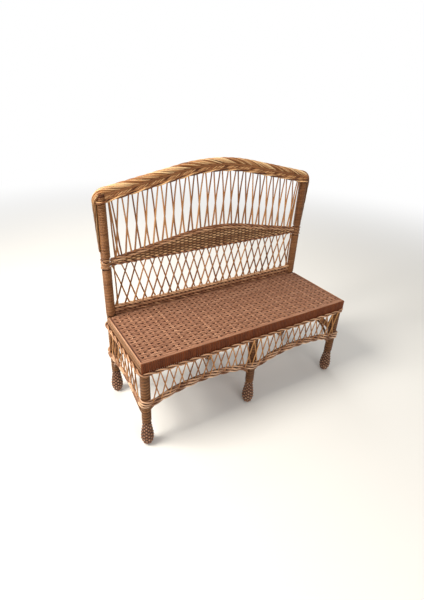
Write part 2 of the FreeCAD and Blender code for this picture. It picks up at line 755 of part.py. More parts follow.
# Apron: borders that go round the outside of the legs, and a lattice of crossed rods between them
face_x, face_y = d.leg_x + d.wrap_radius, d.leg_y + d.wrap_radius
WIDE = {
    "front": (Placement(Vector(0, -face_y, 0), UPRIGHT), ("left", "right")),
    "rear": (Placement(Vector(0, face_y, 0), Rotation(180, 0, 0)), ("right", "left")),
}
NARROW = {
    "left": Placement(Vector(-face_x, 0, 0), Rotation(-90, 0, 0)),
    "right": Placement(Vector(face_x, 0, 0), Rotation(90, 0, 0)),
}
row_pitch = d.border_rod + d.fit_gap
stack_half = d.border_rows * row_pitch / 2
meet_angle = math.pi / 4 - d.fit_gap / (2 * d.bound_radius)


def wrap(hand, x, z):
    """The turn of a border round the outside of a leg, from its face to the corner's diagonal."""

    def at(angle):
        out = d.wrap_radius * math.sin(angle)
        return Vector(x + hand * out, d.wrap_radius * (1 - math.cos(angle)), z)

    points = [at(0), at(meet_angle / 2), at(meet_angle)]
    if hand < 0:
        points.reverse()
    return Part.Arc(*points).toShape()


def arched(x0, x1, rise, offset):
    """A level line that swells into an arch between two legs, moved up square to itself."""
    middle = (x0 + x1) / 2
    half = (x1 - x0) / 2 - d.arch_lead
    both = (rise**2 + half**2) / (2 * rise)
    tilt = math.asin(half / both)
    blend = d.arch_blend - offset
    base = d.lower_border + offset
    crown = d.lower_border + rise + offset

    def side(hand, angle):
        centre = Vector(middle - hand * half, 0, d.lower_border + d.arch_blend)
        return centre + Vector(hand * math.sin(angle), 0, -math.cos(angle)) * blend

    left = [side(1, tilt * share) for share in (0, 0.5, 1)]
    right = [side(-1, tilt * share) for share in (1, 0.5, 0)]
    return [
        Part.LineSegment(Vector(x0, 0, base), left[0]).toShape(),
        Part.Arc(*left).toShape(),
        Part.Arc(left[2], Vector(middle, 0, crown), right[0]).toShape(),
        Part.Arc(*right).toShape(),
        Part.LineSegment(right[2], Vector(x1, 0, base)).toShape(),
    ]


def arched_border(label, place, x0, x1, rise, wraps):
    rods = []
    for number in range(int(d.border_rows)):
        offset = (number + 0.5) * row_pitch - stack_half
        edges = arched(x0, x1, rise, offset)
        level = d.lower_border + offset
        if -1 in wraps:
            edges = [wrap(-1, x0, level), *edges]
        if 1 in wraps:
            edges = [*edges, wrap(1, x1, level)]
        rods.append(tube(edges, d.border_radius))
    return formed(label, Part.makeCompound(rods), place)


def apron_lattice(label, place, half, floor_edges):
    radius = d.apron_rod / 2
    roof = d.upper_border - d.border_radius - d.fit_gap
    space = region(floor_edges, [level_line(half, roof)], 8 * d.apron_rod)
    inner_y = d.border_radius - radius
    layers = ((inner_y, 1), (inner_y - d.apron_rod - d.fit_gap, -1))
    rods = []
    for y, hand in layers:
        low, high = (lambda x: d.lower_border), (lambda x: roof)
        lean = (d.apron_pitch, d.apron_lean)
        rods += leaning_rods(space, half, *lean, radius, y, hand, low, high)
    return formed(label, Part.makeCompound(rods), place)


def upper_border(label, place, half):
    edges = [wrap(-1, -half, d.upper_border), level_line(half, d.upper_border)]
    edges.append(wrap(1, half, d.upper_border))
    return formed(label, tube(edges, d.border_radius), place)


over_rows = stack_half + d.fit_gap / 2
meet = d.fit_gap / 2
for side, (place, bays) in WIDE.items():
    half, rise = d.leg_x, d.front_arch_rise
    upper_border(f"{side}_upper_border", place, half)
    arched_border(f"{side}_{bays[0]}_lower_border", place, -half, -meet, rise, (-1,))
    arched_border(f"{side}_{bays[1]}_lower_border", place, meet, half, rise, (1,))
    floor_edges = arched(-half, 0, rise, over_rows) + arched(0, half, rise, over_rows)
    apron_lattice(f"{side}_apron_lattice", place, half, floor_edges)
for side, place in NARROW.items():
    half, rise = d.leg_y, d.side_arch_rise
    upper_border(f"{side}_upper_border", place, half)
    arched_border(f"{side}_lower_border", place, -half, half, rise, (-1, 1))
    apron_lattice(f"{side}_apron_lattice", place, half, arched(-half, half, rise, over_rows))


# Windings: each is one unbroken rod, wound up its pole in turns that lie side by side
def bent(start, pull, end):
    """The arc from start to end whose tangents meet at pull."""
    middle = (start + end) / 2
    half = (end - start).Length / 2
    rise = (pull - middle).Length
    bulge = half * math.tan(math.atan2(rise, half) / 2)
    return Part.Arc(start, middle + (pull - middle).normalize() * bulge, end).toShape()


MOST_TURNS = 24  # in one winding, before a fresh rod is started


def whole_turns(bottom, top, rod):
    return math.floor(round((top - bottom) / (rod + d.turn_gap) - 1, 6))


def winding(name, bottom, top, rod, facing):
    room = top - bottom - rod - d.turn_gap
    turns = whole_turns(bottom, top, rod)
    pitch = room / turns
    radius = d.pole_radius + d.fit_gap + rod / 2
    base = bottom + (rod + d.turn_gap) / 2
    run = math.hypot(radius, pitch / (2 * math.pi))
    flat, climb = radius / run, pitch / (2 * math.pi) / run

    def along(half_turn):
        angle = math.radians(facing) + math.pi * half_turn
        point = Vector(radius * math.cos(angle), radius * math.sin(angle), base + half_turn * pitch / 2)
        return point, Vector(-flat * math.sin(angle), flat * math.cos(angle), climb)

    point, heading = along(0)
    edges = [Part.LineSegment(point - heading * rod, point).toShape()]
    for half_turn in range(2 * turns):
        point, heading = along(half_turn)
        goal, arrival = along(half_turn + 1)
        step = goal - point
        a = 4 * flat**2
        b = 2 * step.dot(heading + arrival)
        pull = (math.sqrt(b**2 + 4 * a * step.dot(step)) - b) / (2 * a)
        first, second = point + heading * pull, goal - arrival * pull
        join = (first + second) / 2
        edges += [bent(point, first, join), bent(join, second, goal)]
    edges.append(Part.LineSegment(goal, goal + arrival * rod).toShape())
    per_turn = 48
    points = Part.Wire(edges).discretize(Number=per_turn * (turns + 1))
    near = [
        (points[i] - points[j]).Length
        for i in range(len(points))
        for j in range(i + per_turn // 2, min(i + 2 * per_turn, len(points)))
    ]
    print(f"{name}: {turns} turns, least gap to itself {min(near) - rod:.2f} mm")
    return tube(edges, rod / 2)


def wound(label, corner, stretches, inward, rod):
    """Windings on one pole, their ends turned in under the bench or out behind it."""
    side, row = STANDS[corner]
    facing = math.degrees(math.atan2(-row, -side))
    if not inward:
        facing += 180
    coils = []
    for bottom, top in stretches:
        rods = math.ceil(whole_turns(bottom, top, rod) / MOST_TURNS)
        share = (top - bottom) / rods
        for number in range(rods):
            start = bottom + number * share
            name = f"{label} {len(coils) + 1}"
            coils.append(winding(name, start, start + share, rod, facing))
    axis = Vector(side * d.leg_x, row * d.leg_y, 0)
    formed(label, Part.makeCompound(coils), Placement(axis, UPRIGHT))


leg_stretches = [
    (d.foot_height + d.fit_gap, d.lower_border),
    (d.lower_border, d.band_bottom - d.fit_gap),
]
for corner in STANDS:
    wound(f"{corner}_leg_binding", corner, leg_stretches, True, d.binding_rod)

lash_bottom = d.mid_bottom - d.lash_drop
lash_top = lash_bottom + (d.lash_turns + 1) * (d.lash_rod + d.turn_gap)
post_stretches = [
    (d.seat_height + d.fit_gap, d.seat_border_top),
    (d.seat_border_top, lash_bottom - d.fit_gap),
    (lash_top + d.fit_gap, tail_bottom),
    (tail_bottom, shoulder_z - d.binding_rod),
]
for side in ("left", "right"):
    corner = f"rear_{side}"
    wound(f"{side}_post_binding", corner, post_stretches, False, d.binding_rod)
    wound(f"{side}_mid_lashing", corner, [(lash_bottom, lash_top)], False, d.lash_rod)

doc.recompute()
for obj in doc.Objects:
    if "Invalid" in obj.State or "Error" in obj.State:
        raise RuntimeError(f"{obj.Label} failed: {obj.State}")
for obj in pieces:
    if obj.Shape.isNull() or not obj.Shape.isValid() or obj.Shape.Volume <= 0:
        raise RuntimeError(f"{obj.Label} has no valid solid")

os.makedirs("parts", exist_ok=True)
for obj in pieces:
    obj.Shape.exportStep(f"parts/{obj.Label}.step")
print(f"{len(pieces)} pieces, {sum(len(obj.Shape.Solids) for obj in pieces)} solids")
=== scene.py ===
import math

import bpy
import numpy as np
from mathutils import Matrix, Vector


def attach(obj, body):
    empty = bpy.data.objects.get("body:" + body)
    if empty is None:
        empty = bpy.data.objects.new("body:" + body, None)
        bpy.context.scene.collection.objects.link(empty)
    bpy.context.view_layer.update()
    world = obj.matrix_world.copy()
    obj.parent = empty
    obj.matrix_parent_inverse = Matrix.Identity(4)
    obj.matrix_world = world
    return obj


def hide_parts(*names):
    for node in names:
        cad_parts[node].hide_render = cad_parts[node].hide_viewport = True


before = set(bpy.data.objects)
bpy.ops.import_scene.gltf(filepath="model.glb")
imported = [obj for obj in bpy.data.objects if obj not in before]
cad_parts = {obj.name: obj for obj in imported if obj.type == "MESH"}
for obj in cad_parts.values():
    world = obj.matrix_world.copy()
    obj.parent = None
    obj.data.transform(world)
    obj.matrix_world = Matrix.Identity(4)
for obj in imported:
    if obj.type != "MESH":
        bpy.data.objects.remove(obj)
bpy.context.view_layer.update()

scene = bpy.context.scene
scene.view_settings.view_transform = "Standard"


# The view: from standing height in front of the bench's left end, looking down on the seat.
# The bench stands on a pale floor that fades into a white background, in soft studio light.
def aim(position, yaw, pitch, roll):
    """A camera turned from +Y by yaw to the right, tipped down by pitch, rolled by roll (degrees)."""
    yaw, pitch, roll = (math.radians(angle) for angle in (yaw, pitch, roll))
    ahead = Vector((math.sin(yaw) * math.cos(pitch), math.cos(yaw) * math.cos(pitch), -math.sin(pitch)))
    level = Vector((math.cos(yaw), -math.sin(yaw), 0))
    down = ahead.cross(level)
    right = level * math.cos(roll) + down * math.sin(roll)
    up = level * math.sin(roll) - down * math.cos(roll)
    turn = Matrix((right, up, -ahead)).transposed().to_4x4()
    return Matrix.Translation(position) @ turn


lens = bpy.data.cameras.new("view")
lens.sensor_fit = "VERTICAL"
lens.sensor_height = 36
lens.lens = 23.42
viewer = bpy.data.objects.new("view", lens)
viewer.matrix_world = aim(Vector((-0.9606, -1.3189, 1.3741)), yaw=32.68, pitch=28.99, roll=-2.91)
scene.collection.objects.link(viewer)
scene.camera = viewer


class Socket:
    """An output of a node. Sums and products of outputs add the nodes that work them out."""

    def __init__(self, graph, link):
        self.graph, self.link = graph, link

    def of(self, name):
        return Socket(self.graph, self.link.node.outputs[name])

    def join(self, operation, other, flip=False):
        pair = [other, self] if flip else [self, other]
        if self.link.type in ("VECTOR", "RGBA"):
            wide = not isinstance(other, Socket) or other.link.type in ("VECTOR", "RGBA")
            if operation == "MULTIPLY" and (isinstance(other, (int, float)) or not wide):
                sockets = {0: self, "Scale": other}
                return self.graph.node("ShaderNodeVectorMath", {"operation": "SCALE"}, sockets)
            return self.graph.node("ShaderNodeVectorMath", {"operation": operation}, dict(enumerate(pair)))
        return self.graph.node("ShaderNodeMath", {"operation": operation}, dict(enumerate(pair)))

    def __add__(self, other):
        return self.join("ADD", other)

    def __radd__(self, other):
        return self.join("ADD", other, True)

    def __sub__(self, other):
        return self.join("SUBTRACT", other)

    def __rsub__(self, other):
        return self.join("SUBTRACT", other, True)

    def __mul__(self, other):
        return self.join("MULTIPLY", other)

    __rmul__ = __mul__

    def __truediv__(self, other):
        return self.join("DIVIDE", other)

    def __abs__(self):
        return self.graph.node("ShaderNodeMath", {"operation": "ABSOLUTE"}, {0: self})

    def ramp(self, low, high):
        """0 at low, 1 at high, smooth between."""
        sockets = {"Value": self, "From Min": low, "From Max": high}
        return self.graph.node("ShaderNodeMapRange", {"interpolation_type": "SMOOTHSTEP"}, sockets)


class Graph:
    """A node tree, for a finish or for a weave."""

    def __init__(self, tree):
        self.tree = tree

    def node(self, kind, settings=None, sockets=None, out=0):
        made = self.tree.nodes.new(kind)
        for name, value in (settings or {}).items():
            if name == "stops":
                ramp = made.color_ramp
                while len(ramp.elements) < len(value):
                    ramp.elements.new(1)
                for stop, (place, colour) in zip(ramp.elements, value):
                    stop.position, stop.color = place, (*colour, 1)
            else:
                setattr(made, name, value)
        for key, value in (sockets or {}).items():
            if isinstance(value, Socket):
                self.tree.links.new(value.link, made.inputs[key])
            else:
                made.inputs[key].default_value = value
        return Socket(self, made.outputs[out]) if len(made.outputs) else made

    def mix(self, share, one, other):
        """One colour at share 0, the other at share 1."""
        colours = [c if isinstance(c, Socket) else (*c, 1) for c in (one, other)]
        settings = {"data_type": "RGBA", "clamp_factor": True}
        return self.node("ShaderNodeMix", settings, {0: share, 6: colours[0], 7: colours[1]}, out=2)


def tint(red, green, blue):
    """A colour as a screen shows it, 0 to 255, made linear."""
    shares = [value / 255 for value in (red, green, blue)]
    return tuple(s / 12.92 if s <= 0.04045 else ((s + 0.055) / 1.055) ** 2.4 for s in shares)


def blank(name):
    """A finish with nothing in its node tree yet."""
    finish = bpy.data.materials.new(name)
    finish.use_nodes = True
    finish.node_tree.nodes.clear()
    return finish, Graph(finish.node_tree)


def looked_at(graph):
    """1 for a ray from the camera or off a shiny or clear surface, 0 for one that lights something."""
    ray = graph.node("ShaderNodeLightPath")
    mirrored = ray.of("Is Glossy Ray").join("MAXIMUM", ray.of("Is Transmission Ray"))
    return ray.of("Is Camera Ray").join("MAXIMUM", mirrored)


PALE, FADE_FROM, FADE_TO, FLOOR_HALF = tint(236, 235, 232), 1.6, 5.0, 30
ground, g = blank("pale_floor")
spot = g.node("ShaderNodeTexCoord", out="Object")
far = g.node("ShaderNodeVectorMath", {"operation": "LENGTH"}, {0: spot}, out="Value")
paint = g.node("ShaderNodeBsdfPrincipled", sockets={"Base Color": (*PALE, 1), "Roughness": 0.9})
glow = g.node("ShaderNodeEmission", sockets={"Color": (1, 1, 1, 1), "Strength": 1.0})
fade = far.ramp(FADE_FROM, FADE_TO) * looked_at(g)
blend = g.node("ShaderNodeMixShader", sockets={0: fade, 1: paint, 2: glow})
g.node("ShaderNodeOutputMaterial", sockets={"Surface": blend})
corners = [(x * FLOOR_HALF, y * FLOOR_HALF, 0) for x, y in ((-1, -1), (1, -1), (1, 1), (-1, 1))]
sheet = bpy.data.meshes.new("floor")
sheet.from_pydata(corners, [], [(0, 1, 2, 3)])
sheet.materials.append(ground)
floor = bpy.data.objects.new("floor", sheet)
scene.collection.objects.link(floor)

sky = bpy.data.worlds.new("studio")
scene.world = sky
sky.use_nodes = True
sky.node_tree.nodes.clear()
g = Graph(sky.node_tree)
soft = g.node("ShaderNodeBackground", sockets={"Color": (1, 0.985, 0.96, 1), "Strength": 0.36})
white = g.node("ShaderNodeBackground", sockets={"Color": (1, 1, 1, 1), "Strength": 1.0})
shown = g.node("ShaderNodeMixShader", sockets={0: looked_at(g), 1: soft, 2: white})
g.node("ShaderNodeOutputWorld", sockets={"Surface": shown})


def lamp(name, position, target, width, watts, colour):
    """A soft square light that is turned to a target."""
    light = bpy.data.lights.new(name, "AREA")
    light.size, light.energy, light.color = width, watts, colour
    holder = bpy.data.objects.new(name, light)
    holder.location = position
    aimed = Vector(target) - Vector(position)
    holder.rotation_euler = aimed.to_track_quat("-Z", "Y").to_euler()
    scene.collection.objects.link(holder)


lamp("sun_side", (-2.1, 0.3, 2.6), (0, 0, 0.6), width=1.4, watts=118, colour=(1, 0.95, 0.86))
lamp("front_fill", (-0.5, -3.1, 2.2), (0, 0, 0.4), width=2.4, watts=40, colour=(1, 0.98, 0.95))
lamp("behind", (0.6, 3.0, 2.6), (0, 0, 0.7), width=2.4, watts=48, colour=(1, 0.97, 0.92))


# Poles: straight peeled willow, 26 mm thick, under all the windings. Two run from the floor to the
# top rail as back posts, and four end in a tenon under the seat. The bark is off, so they are smooth.
LEG_X, LEG_Y, POLE = 0.531, 0.1905, 0.013


def peeled(name, dark, light, rough, grain_scale=(90, 90, 6)):
    """Bare wood with its grain along the axis of the smallest scale; colours as a screen shows them."""
    finish, g = blank(name)
    place = g.node("ShaderNodeTexCoord", out="Object")
    stretch = g.node("ShaderNodeMapping", sockets={"Vector": place, "Scale": grain_scale})
    grain = g.node("ShaderNodeTexNoise", sockets={"Vector": stretch, "Scale": 1, "Detail": 4})
    cloud = g.node("ShaderNodeTexNoise", sockets={"Vector": place, "Scale": 9, "Detail": 2})
    share = (grain - 0.5) * 1.3 + (cloud - 0.5) * 0.8 + 0.5
    colour = g.mix(share, tint(*dark), tint(*light))
    bump = g.node("ShaderNodeBump", sockets={"Strength": 0.25, "Distance": 0.0006, "Height": grain})
    sockets = {"Base Color": colour, "Roughness": (grain - 0.5) * 0.3 + rough, "Normal": bump}
    skin = g.node("ShaderNodeBsdfPrincipled", sockets=sockets)
    g.node("ShaderNodeOutputMaterial", sockets={"Surface": skin})
    return finish


def dress(nodes, finish):
    """A finish on pieces that keep the shape they were built with."""
    for node in nodes:
        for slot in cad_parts[node].material_slots:
            slot.material = finish


pole_finish = peeled("peeled_pole", (96, 58, 34), (140, 92, 56), rough=0.5)
CORNERS = {
    "front_left": (-LEG_X, -LEG_Y),
    "front_centre": (0, -LEG_Y),
    "front_right": (LEG_X, -LEG_Y),
    "rear_left": (-LEG_X, LEG_Y),
    "rear_centre": (0, LEG_Y),
    "rear_right": (LEG_X, LEG_Y),
}
dress([f"{corner}_leg" for corner in CORNERS if corner not in ("rear_left", "rear_right")], pole_finish)
dress(["left_back_post", "right_back_post"], pole_finish)


# Windings: flat splits of willow wound up every leg and post, two side by side. On the legs the two
# differ in tone, and a dark line is left between one pair and the next, deepened by painted shade at
# the splits' edges. On the posts they lie close.
# The inputs of the tree that lays the strands, with their kinds.
INPUTS = {
    "Strands": "Int",
    "Turns per metre": "Float",
    "Width": "Float",
    "Thickness": "Float",
    "Step": "Float",
    "Sides": "Int",
    "Wander": "Float",
    "Uneven": "Float",
    "Seed": "Int",
    "Finish": "Material",
}


def strand_tree():
    """Strands along lines. A point's out and side give the oval that the strands turn round."""
    tree = bpy.data.node_groups.new("laid_strands", "GeometryNodeTree")
    face = tree.interface
    face.new_socket("Lines", in_out="INPUT", socket_type="NodeSocketGeometry")
    for name, kind in INPUTS.items():
        face.new_socket(name, in_out="INPUT", socket_type=f"NodeSocket{kind}")
    face.new_socket("Strands laid", in_out="OUTPUT", socket_type="NodeSocketGeometry")
    g = Graph(tree)
    given = g.node("NodeGroupInput")

    def point(name, kind="FLOAT"):
        return g.node("GeometryNodeInputNamedAttribute", {"data_type": kind}, {"Name": name})

    def store(geometry, name, value, kind="FLOAT", domain="POINT"):
        settings = {"data_type": kind, "domain": domain}
        sockets = {"Geometry": geometry, "Name": name, "Value": value}
        return g.node("GeometryNodeStoreNamedAttribute", settings, sockets)

    def noise(pace, apart, shift, out=0):
        """Noise along a strand, its own on each strand and for each seed."""
        sockets = {"X": length * pace, "Y": tone * apart, "Z": given.of("Seed") * shift}
        place = g.node("ShaderNodeCombineXYZ", sockets=sockets)
        return g.node("ShaderNodeTexNoise", sockets={"Vector": place, "Scale": 1, "Detail": 1}, out=out)

    out, across, facing = (point(name, "FLOAT_VECTOR") for name in ("out", "side", "face"))
    curve = g.node("GeometryNodeMeshToCurve", sockets={"Mesh": given.of("Lines")})
    sockets = {"Curve": curve, "Length": given.of("Step")}
    curve = g.node("GeometryNodeResampleCurve", {"mode": "LENGTH"}, sockets)
    sockets = {"Geometry": curve, "Amount": given.of("Strands")}
    curve = g.node("GeometryNodeDuplicateElements", {"domain": "SPLINE"}, sockets)
    copy = curve.of("Duplicate Index")
    length = g.node("GeometryNodeSplineParameter", out="Length")
    turns = length * given.of("Turns per metre") + point("turn") + copy / given.of("Strands")
    angle = turns * math.tau
    cosine, sine = (g.node("ShaderNodeMath", {"operation": wave}, {0: angle}) for wave in ("COSINE", "SINE"))
    ring = out * cosine + across * sine
    sockets = {"ID": g.node("GeometryNodeInputIndex"), "Seed": given.of("Seed")}
    chance = g.node("FunctionNodeRandomValue", {"data_type": "FLOAT"}, sockets, out=1)
    curve = store(curve, "tone", chance, domain="CURVE")
    tone = point("tone")
    sockets = {"Curve": curve, "Normal": ring + facing}
    curve = g.node("GeometryNodeSetCurveNormal", {"mode": "FREE"}, sockets)
    curve = store(curve, "lift", cosine)
    stray = (noise(pace=7, apart=93, shift=1.7, out="Color") - (0.5, 0.5, 0.5)) * given.of("Wander")
    curve = g.node("GeometryNodeSetPosition", sockets={"Geometry": curve, "Offset": ring + stray})
    curve = store(curve, "along", length)
    sockets = {"Resolution": given.of("Sides"), "Radius": 1}
    circle = g.node("GeometryNodeCurvePrimitiveCircle", {"mode": "RADIUS"}, sockets)
    circle = store(circle, "skin", g.node("GeometryNodeInputPosition"), "FLOAT_VECTOR")
    sockets = {"X": given.of("Thickness") * 0.5, "Y": given.of("Width") * 0.5, "Z": 1}
    oval = g.node("ShaderNodeCombineXYZ", sockets=sockets)
    circle = g.node("GeometryNodeTransform", sockets={"Geometry": circle, "Scale": oval})
    lump = noise(pace=30, apart=71, shift=2.3)
    size = point("slim") * ((lump - 0.5) * given.of("Uneven") + 1)
    sockets = {"Curve": curve, "Profile Curve": circle, "Scale": size, "Fill Caps": True}
    skin = g.node("GeometryNodeCurveToMesh", sockets=sockets)
    skin = g.node("GeometryNodeSetShadeSmooth", sockets={"Geometry": skin})
    skin = g.node("GeometryNodeRealizeInstances", sockets={"Geometry": skin})
    skin = g.node("GeometryNodeSetMaterial", sockets={"Geometry": skin, "Material": given.of("Finish")})
    g.node("NodeGroupOutput", sockets={0: skin})
    return tree


STRANDS = strand_tree()


class Lines:
    """Lines for strands to follow, each point with its out, side, face, turn and slimness."""

    KEYS = (("out", 3), ("side", 3), ("face", 3), ("turn", 1), ("slim", 1))

    def __init__(self):
        self.points, self.edges = [], []
        self.held = {key: [] for key, _ in self.KEYS}

    def add(self, points, out=(0, 0, 0), side=(0, 0, 0), face=(0, 0, 0), turn=0, slim=1):
        """One more line. A value is given for each of its points, or once for all of them."""
        points = np.asarray(points, float)
        count, first = len(points), sum(len(p) for p in self.points)
        self.points.append(points)
        self.edges += [(first + k, first + k + 1) for k in range(count - 1)]
        for (key, width), value in zip(self.KEYS, (out, side, face, turn, slim)):
            shape = (count, width) if width > 1 else (count,)
            self.held[key].append(np.broadcast_to(np.asarray(value, float), shape))

    def rope(self, points, outward, radius, turn=0, slim=1):
        """A line whose strands turn round it at a radius, or at an (out, side) pair of them."""
        points = np.asarray(points, float)
        ahead = np.gradient(points, axis=0)
        outward = np.broadcast_to(np.asarray(outward, float), points.shape)
        across = np.cross(ahead, outward)
        across /= np.linalg.norm(across, axis=1, keepdims=True)
        tall, wide = radius if isinstance(radius, tuple) else (radius, radius)
        tall, wide = (np.broadcast_to(np.asarray(v, float), (len(points),))[:, None] for v in (tall, wide))
        self.add(points, outward * tall, across * wide, turn=turn, slim=slim)

    def mesh(self, name):
        """The lines as edges, with the values of their points as attributes."""
        made = bpy.data.meshes.new(name)
        made.from_pydata(np.concatenate(self.points).tolist(), self.edges, [])
        for key, width in self.KEYS:
            kind = "FLOAT_VECTOR" if width > 1 else "FLOAT"
            layer = made.attributes.new(key, kind, "POINT")
            values = np.concatenate(self.held[key]).astype(np.float32)
            layer.data.foreach_set("vector" if width > 1 else "value", values.ravel())
        return made


def lay(name, lines, finish, nodes, width, thick, step, strands=1, turns=0.0, sides=6,
        wander=0.0, uneven=0.0, seed=1):
    """Strands on the lines as one finished piece, in the place of the nodes it stands for."""
    holder = bpy.data.objects.new(f"{name}_lines", lines.mesh(f"{name}_lines"))
    scene.collection.objects.link(holder)
    weave = holder.modifiers.new("strands", "NODES")
    weave.node_group = STRANDS
    values = (strands, float(turns), width, thick, step, sides, wander, uneven, seed, finish)
    values = dict(zip(INPUTS, values))
    for item in STRANDS.interface.items_tree:
        if item.in_out == "INPUT" and item.name in values:
            weave[item.identifier] = values[item.name]
    view = bpy.context.evaluated_depsgraph_get()
    ready = holder.evaluated_get(view)
    mesh = bpy.data.meshes.new_from_object(ready, preserve_all_data_layers=True, depsgraph=view)
    mesh.name = name
    for key, _ in Lines.KEYS:
        if key in mesh.attributes:
            mesh.attributes.remove(mesh.attributes[key])
    bpy.data.objects.remove(holder)
    piece = bpy.data.objects.new(name, mesh)
    scene.collection.objects.link(piece)
    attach(piece, "root")
    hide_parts(*nodes)


def willow(name, dark, middle, light, rough=0.42, edge=0.0, coat=0.05, vary=0.75, shade_mask=None, shade_colour=None):
    """Lacquered willow: streaks along each strand, no two strands quite alike, and each strand darkened
    towards its edges as painted shade between strands.

    Colours are as a screen shows them. One argument gives how much painted shade a point takes, and the
    other the colour of that painted shade.
    """
    finish, g = blank(name)
    dark, middle, light = (tint(*colour) for colour in (dark, middle, light))
    shade = tuple(part * 0.35 for part in dark)

    def read(attribute, out="Fac"):
        return g.node("ShaderNodeAttribute", {"attribute_name": attribute}, out=out)

    def noise(x, y, z, **settings):
        place = g.node("ShaderNodeCombineXYZ", sockets={"X": x, "Y": y, "Z": z})
        return g.node("ShaderNodeTexNoise", sockets={"Vector": place, "Scale": 1, **settings})

    along, tone, skin = read("along"), read("tone"), read("skin", "Vector")
    turned = g.node("ShaderNodeSeparateXYZ", sockets={"Vector": skin})
    proud, edgeways = turned.of("X"), turned.of("Y")
    grain_pace, grain_round, cloud_pace = 22, 2.6, 7
    grain = noise(along * grain_pace + tone * 57, proud * grain_round, edgeways * grain_round + tone * 31,
                  Detail=4, Roughness=0.6)
    cloud = noise(along * cloud_pace + tone * 83, tone * 19, 0.5, Detail=2)
    share = (grain - 0.5) * 1.1 + (cloud - 0.5) * 0.9 + (tone - 0.5) * vary + 0.5
    stops = [(0.0, dark), (0.45, middle), (1.0, light)]
    colour = g.node("ShaderNodeValToRGB", {"stops": stops}, {"Fac": share})
    # Painted shade: each strand is darkened towards its edges, as much as edge asks.
    colour = g.mix(abs(edgeways).ramp(0.72, 1.0) * edge, colour, shade)
    # Painted shade: the caller's mask (depth below) mixes the colour towards a dark shade colour.
    if shade_mask:
        spot = g.node("ShaderNodeTexCoord", out="Object")
        place = g.node("ShaderNodeSeparateXYZ", sockets={"Vector": spot})
        depth = shade_mask(place.of("X"), place.of("Y"), place.of("Z"), read("lift"))
        colour = g.mix(depth, colour, tint(*shade_colour) if shade_colour else shade)
    sockets = {"Strength": 0.35, "Distance": 0.0008, "Height": grain}
    relief = g.node("ShaderNodeBump", sockets=sockets)
    sockets = {
        "Base Color": colour,
        "Roughness": (grain - 0.5) * 0.35 + rough,
        "Normal": relief,
        "Specular IOR Level": 0.2,
        "Coat Weight": coat,
        "Coat Roughness": 0.3,
    }
    coated = g.node("ShaderNodeBsdfPrincipled", sockets=sockets)
    g.node("ShaderNodeOutputMaterial", sockets={"Surface": coated})
    return finish


SPLIT_WIDTH, SPLIT_THICK, OPEN_RISE, CLOSE_RISE = 0.0068, 0.0036, 0.0148, 0.0138
WOUND, PAIR_PITCH, TURN_POINTS = POLE + 0.0057, SPLIT_WIDTH * 1.02, 22
LEG_RUN = [(0.125, 0.3855)]
POST_RUNS = [(0.4403, 0.668), (0.7139, 0.978)]
TWO_TONE_SEEDS = (30, 46, 145, 191, 196, 201)
leg_splits = willow("leg_splits", (62, 35, 18), (108, 69, 40), (160, 112, 70), edge=0.8, vary=0.32)
post_splits = willow("post_splits", (88, 53, 29), (128, 84, 51), (172, 122, 79), edge=0.3, vary=0.4)


def wind(name, corner, runs, node, finish, rise, seed):
    """Pairs of splits wound up one leg or post over each run of heights."""
    x, y = CORNERS[corner]
    lines = Lines()
    for low, high in runs:
        ends = [(x, y, low + SPLIT_WIDTH / 2), (x, y, high - SPLIT_WIDTH / 2)]
        for beside in (0, PAIR_PITCH / rise):
            lines.add(ends, out=(WOUND, 0, 0), side=(0, WOUND, 0), turn=beside)
    lay(name, lines, finish, [node], width=SPLIT_WIDTH, thick=SPLIT_THICK, step=rise / TURN_POINTS,
        turns=1 / rise, uneven=0.1, wander=0.0006, seed=seed)


for corner, seed in zip(CORNERS, TWO_TONE_SEEDS):
    wind(f"{corner}_leg_winding", corner, LEG_RUN, f"{corner}_leg_binding", leg_splits, OPEN_RISE, seed)
for hand, seed in (("left", 20), ("right", 21)):
    wind(f"{hand}_post_winding", f"rear_{hand}", POST_RUNS, f"{hand}_post_binding", post_splits, CLOSE_RISE,
         seed)


# Feet: small closed baskets woven round the lower end of each leg. A thin round rod spirals up in
# front of one stake and behind the next, over an odd number of stakes, and swells into a bulb.
FOOT_TOP, BULB_AT, SOLE, BULB, NECK = 0.125, 0.038, 0.017, 0.0292, 0.0205
STAKES, WEAVER, WEAVER_THICK, WEAVER_PITCH, SWAY = 15, 0.0082, 0.0056, 0.0085, 0.0017
ROUND_POINTS, STAKE_POINTS, SOLE_POINTS, SOLE_ROUNDS = 120, 16, 24, 1.45
# Painted shade: the weaver turns dark where it lies back behind a stake, in the weave's hollows.
foot_weave = willow("foot_willow", (112, 69, 47), (174, 127, 98), (236, 198, 167), edge=0.4, vary=0.3,
                    shade_mask=lambda x, y, z, lift: (1 - lift.ramp(0.1, 0.9)) * 0.92, shade_colour=(58, 31, 20))


def weave_radius(z):
    """Radius of the line that the weaver sways about, at a height on the foot."""
    swell = SOLE + (BULB - SOLE) * np.sin(np.clip(z / BULB_AT, 0, 1) * math.pi / 2)
    share = np.clip((z - BULB_AT) / (FOOT_TOP - BULB_AT), 0, 1)
    outer = np.where(z < BULB_AT, swell, NECK + (BULB - NECK) * (0.5 + 0.5 * np.cos(share * math.pi)))
    return outer - SWAY - WEAVER_THICK / 2


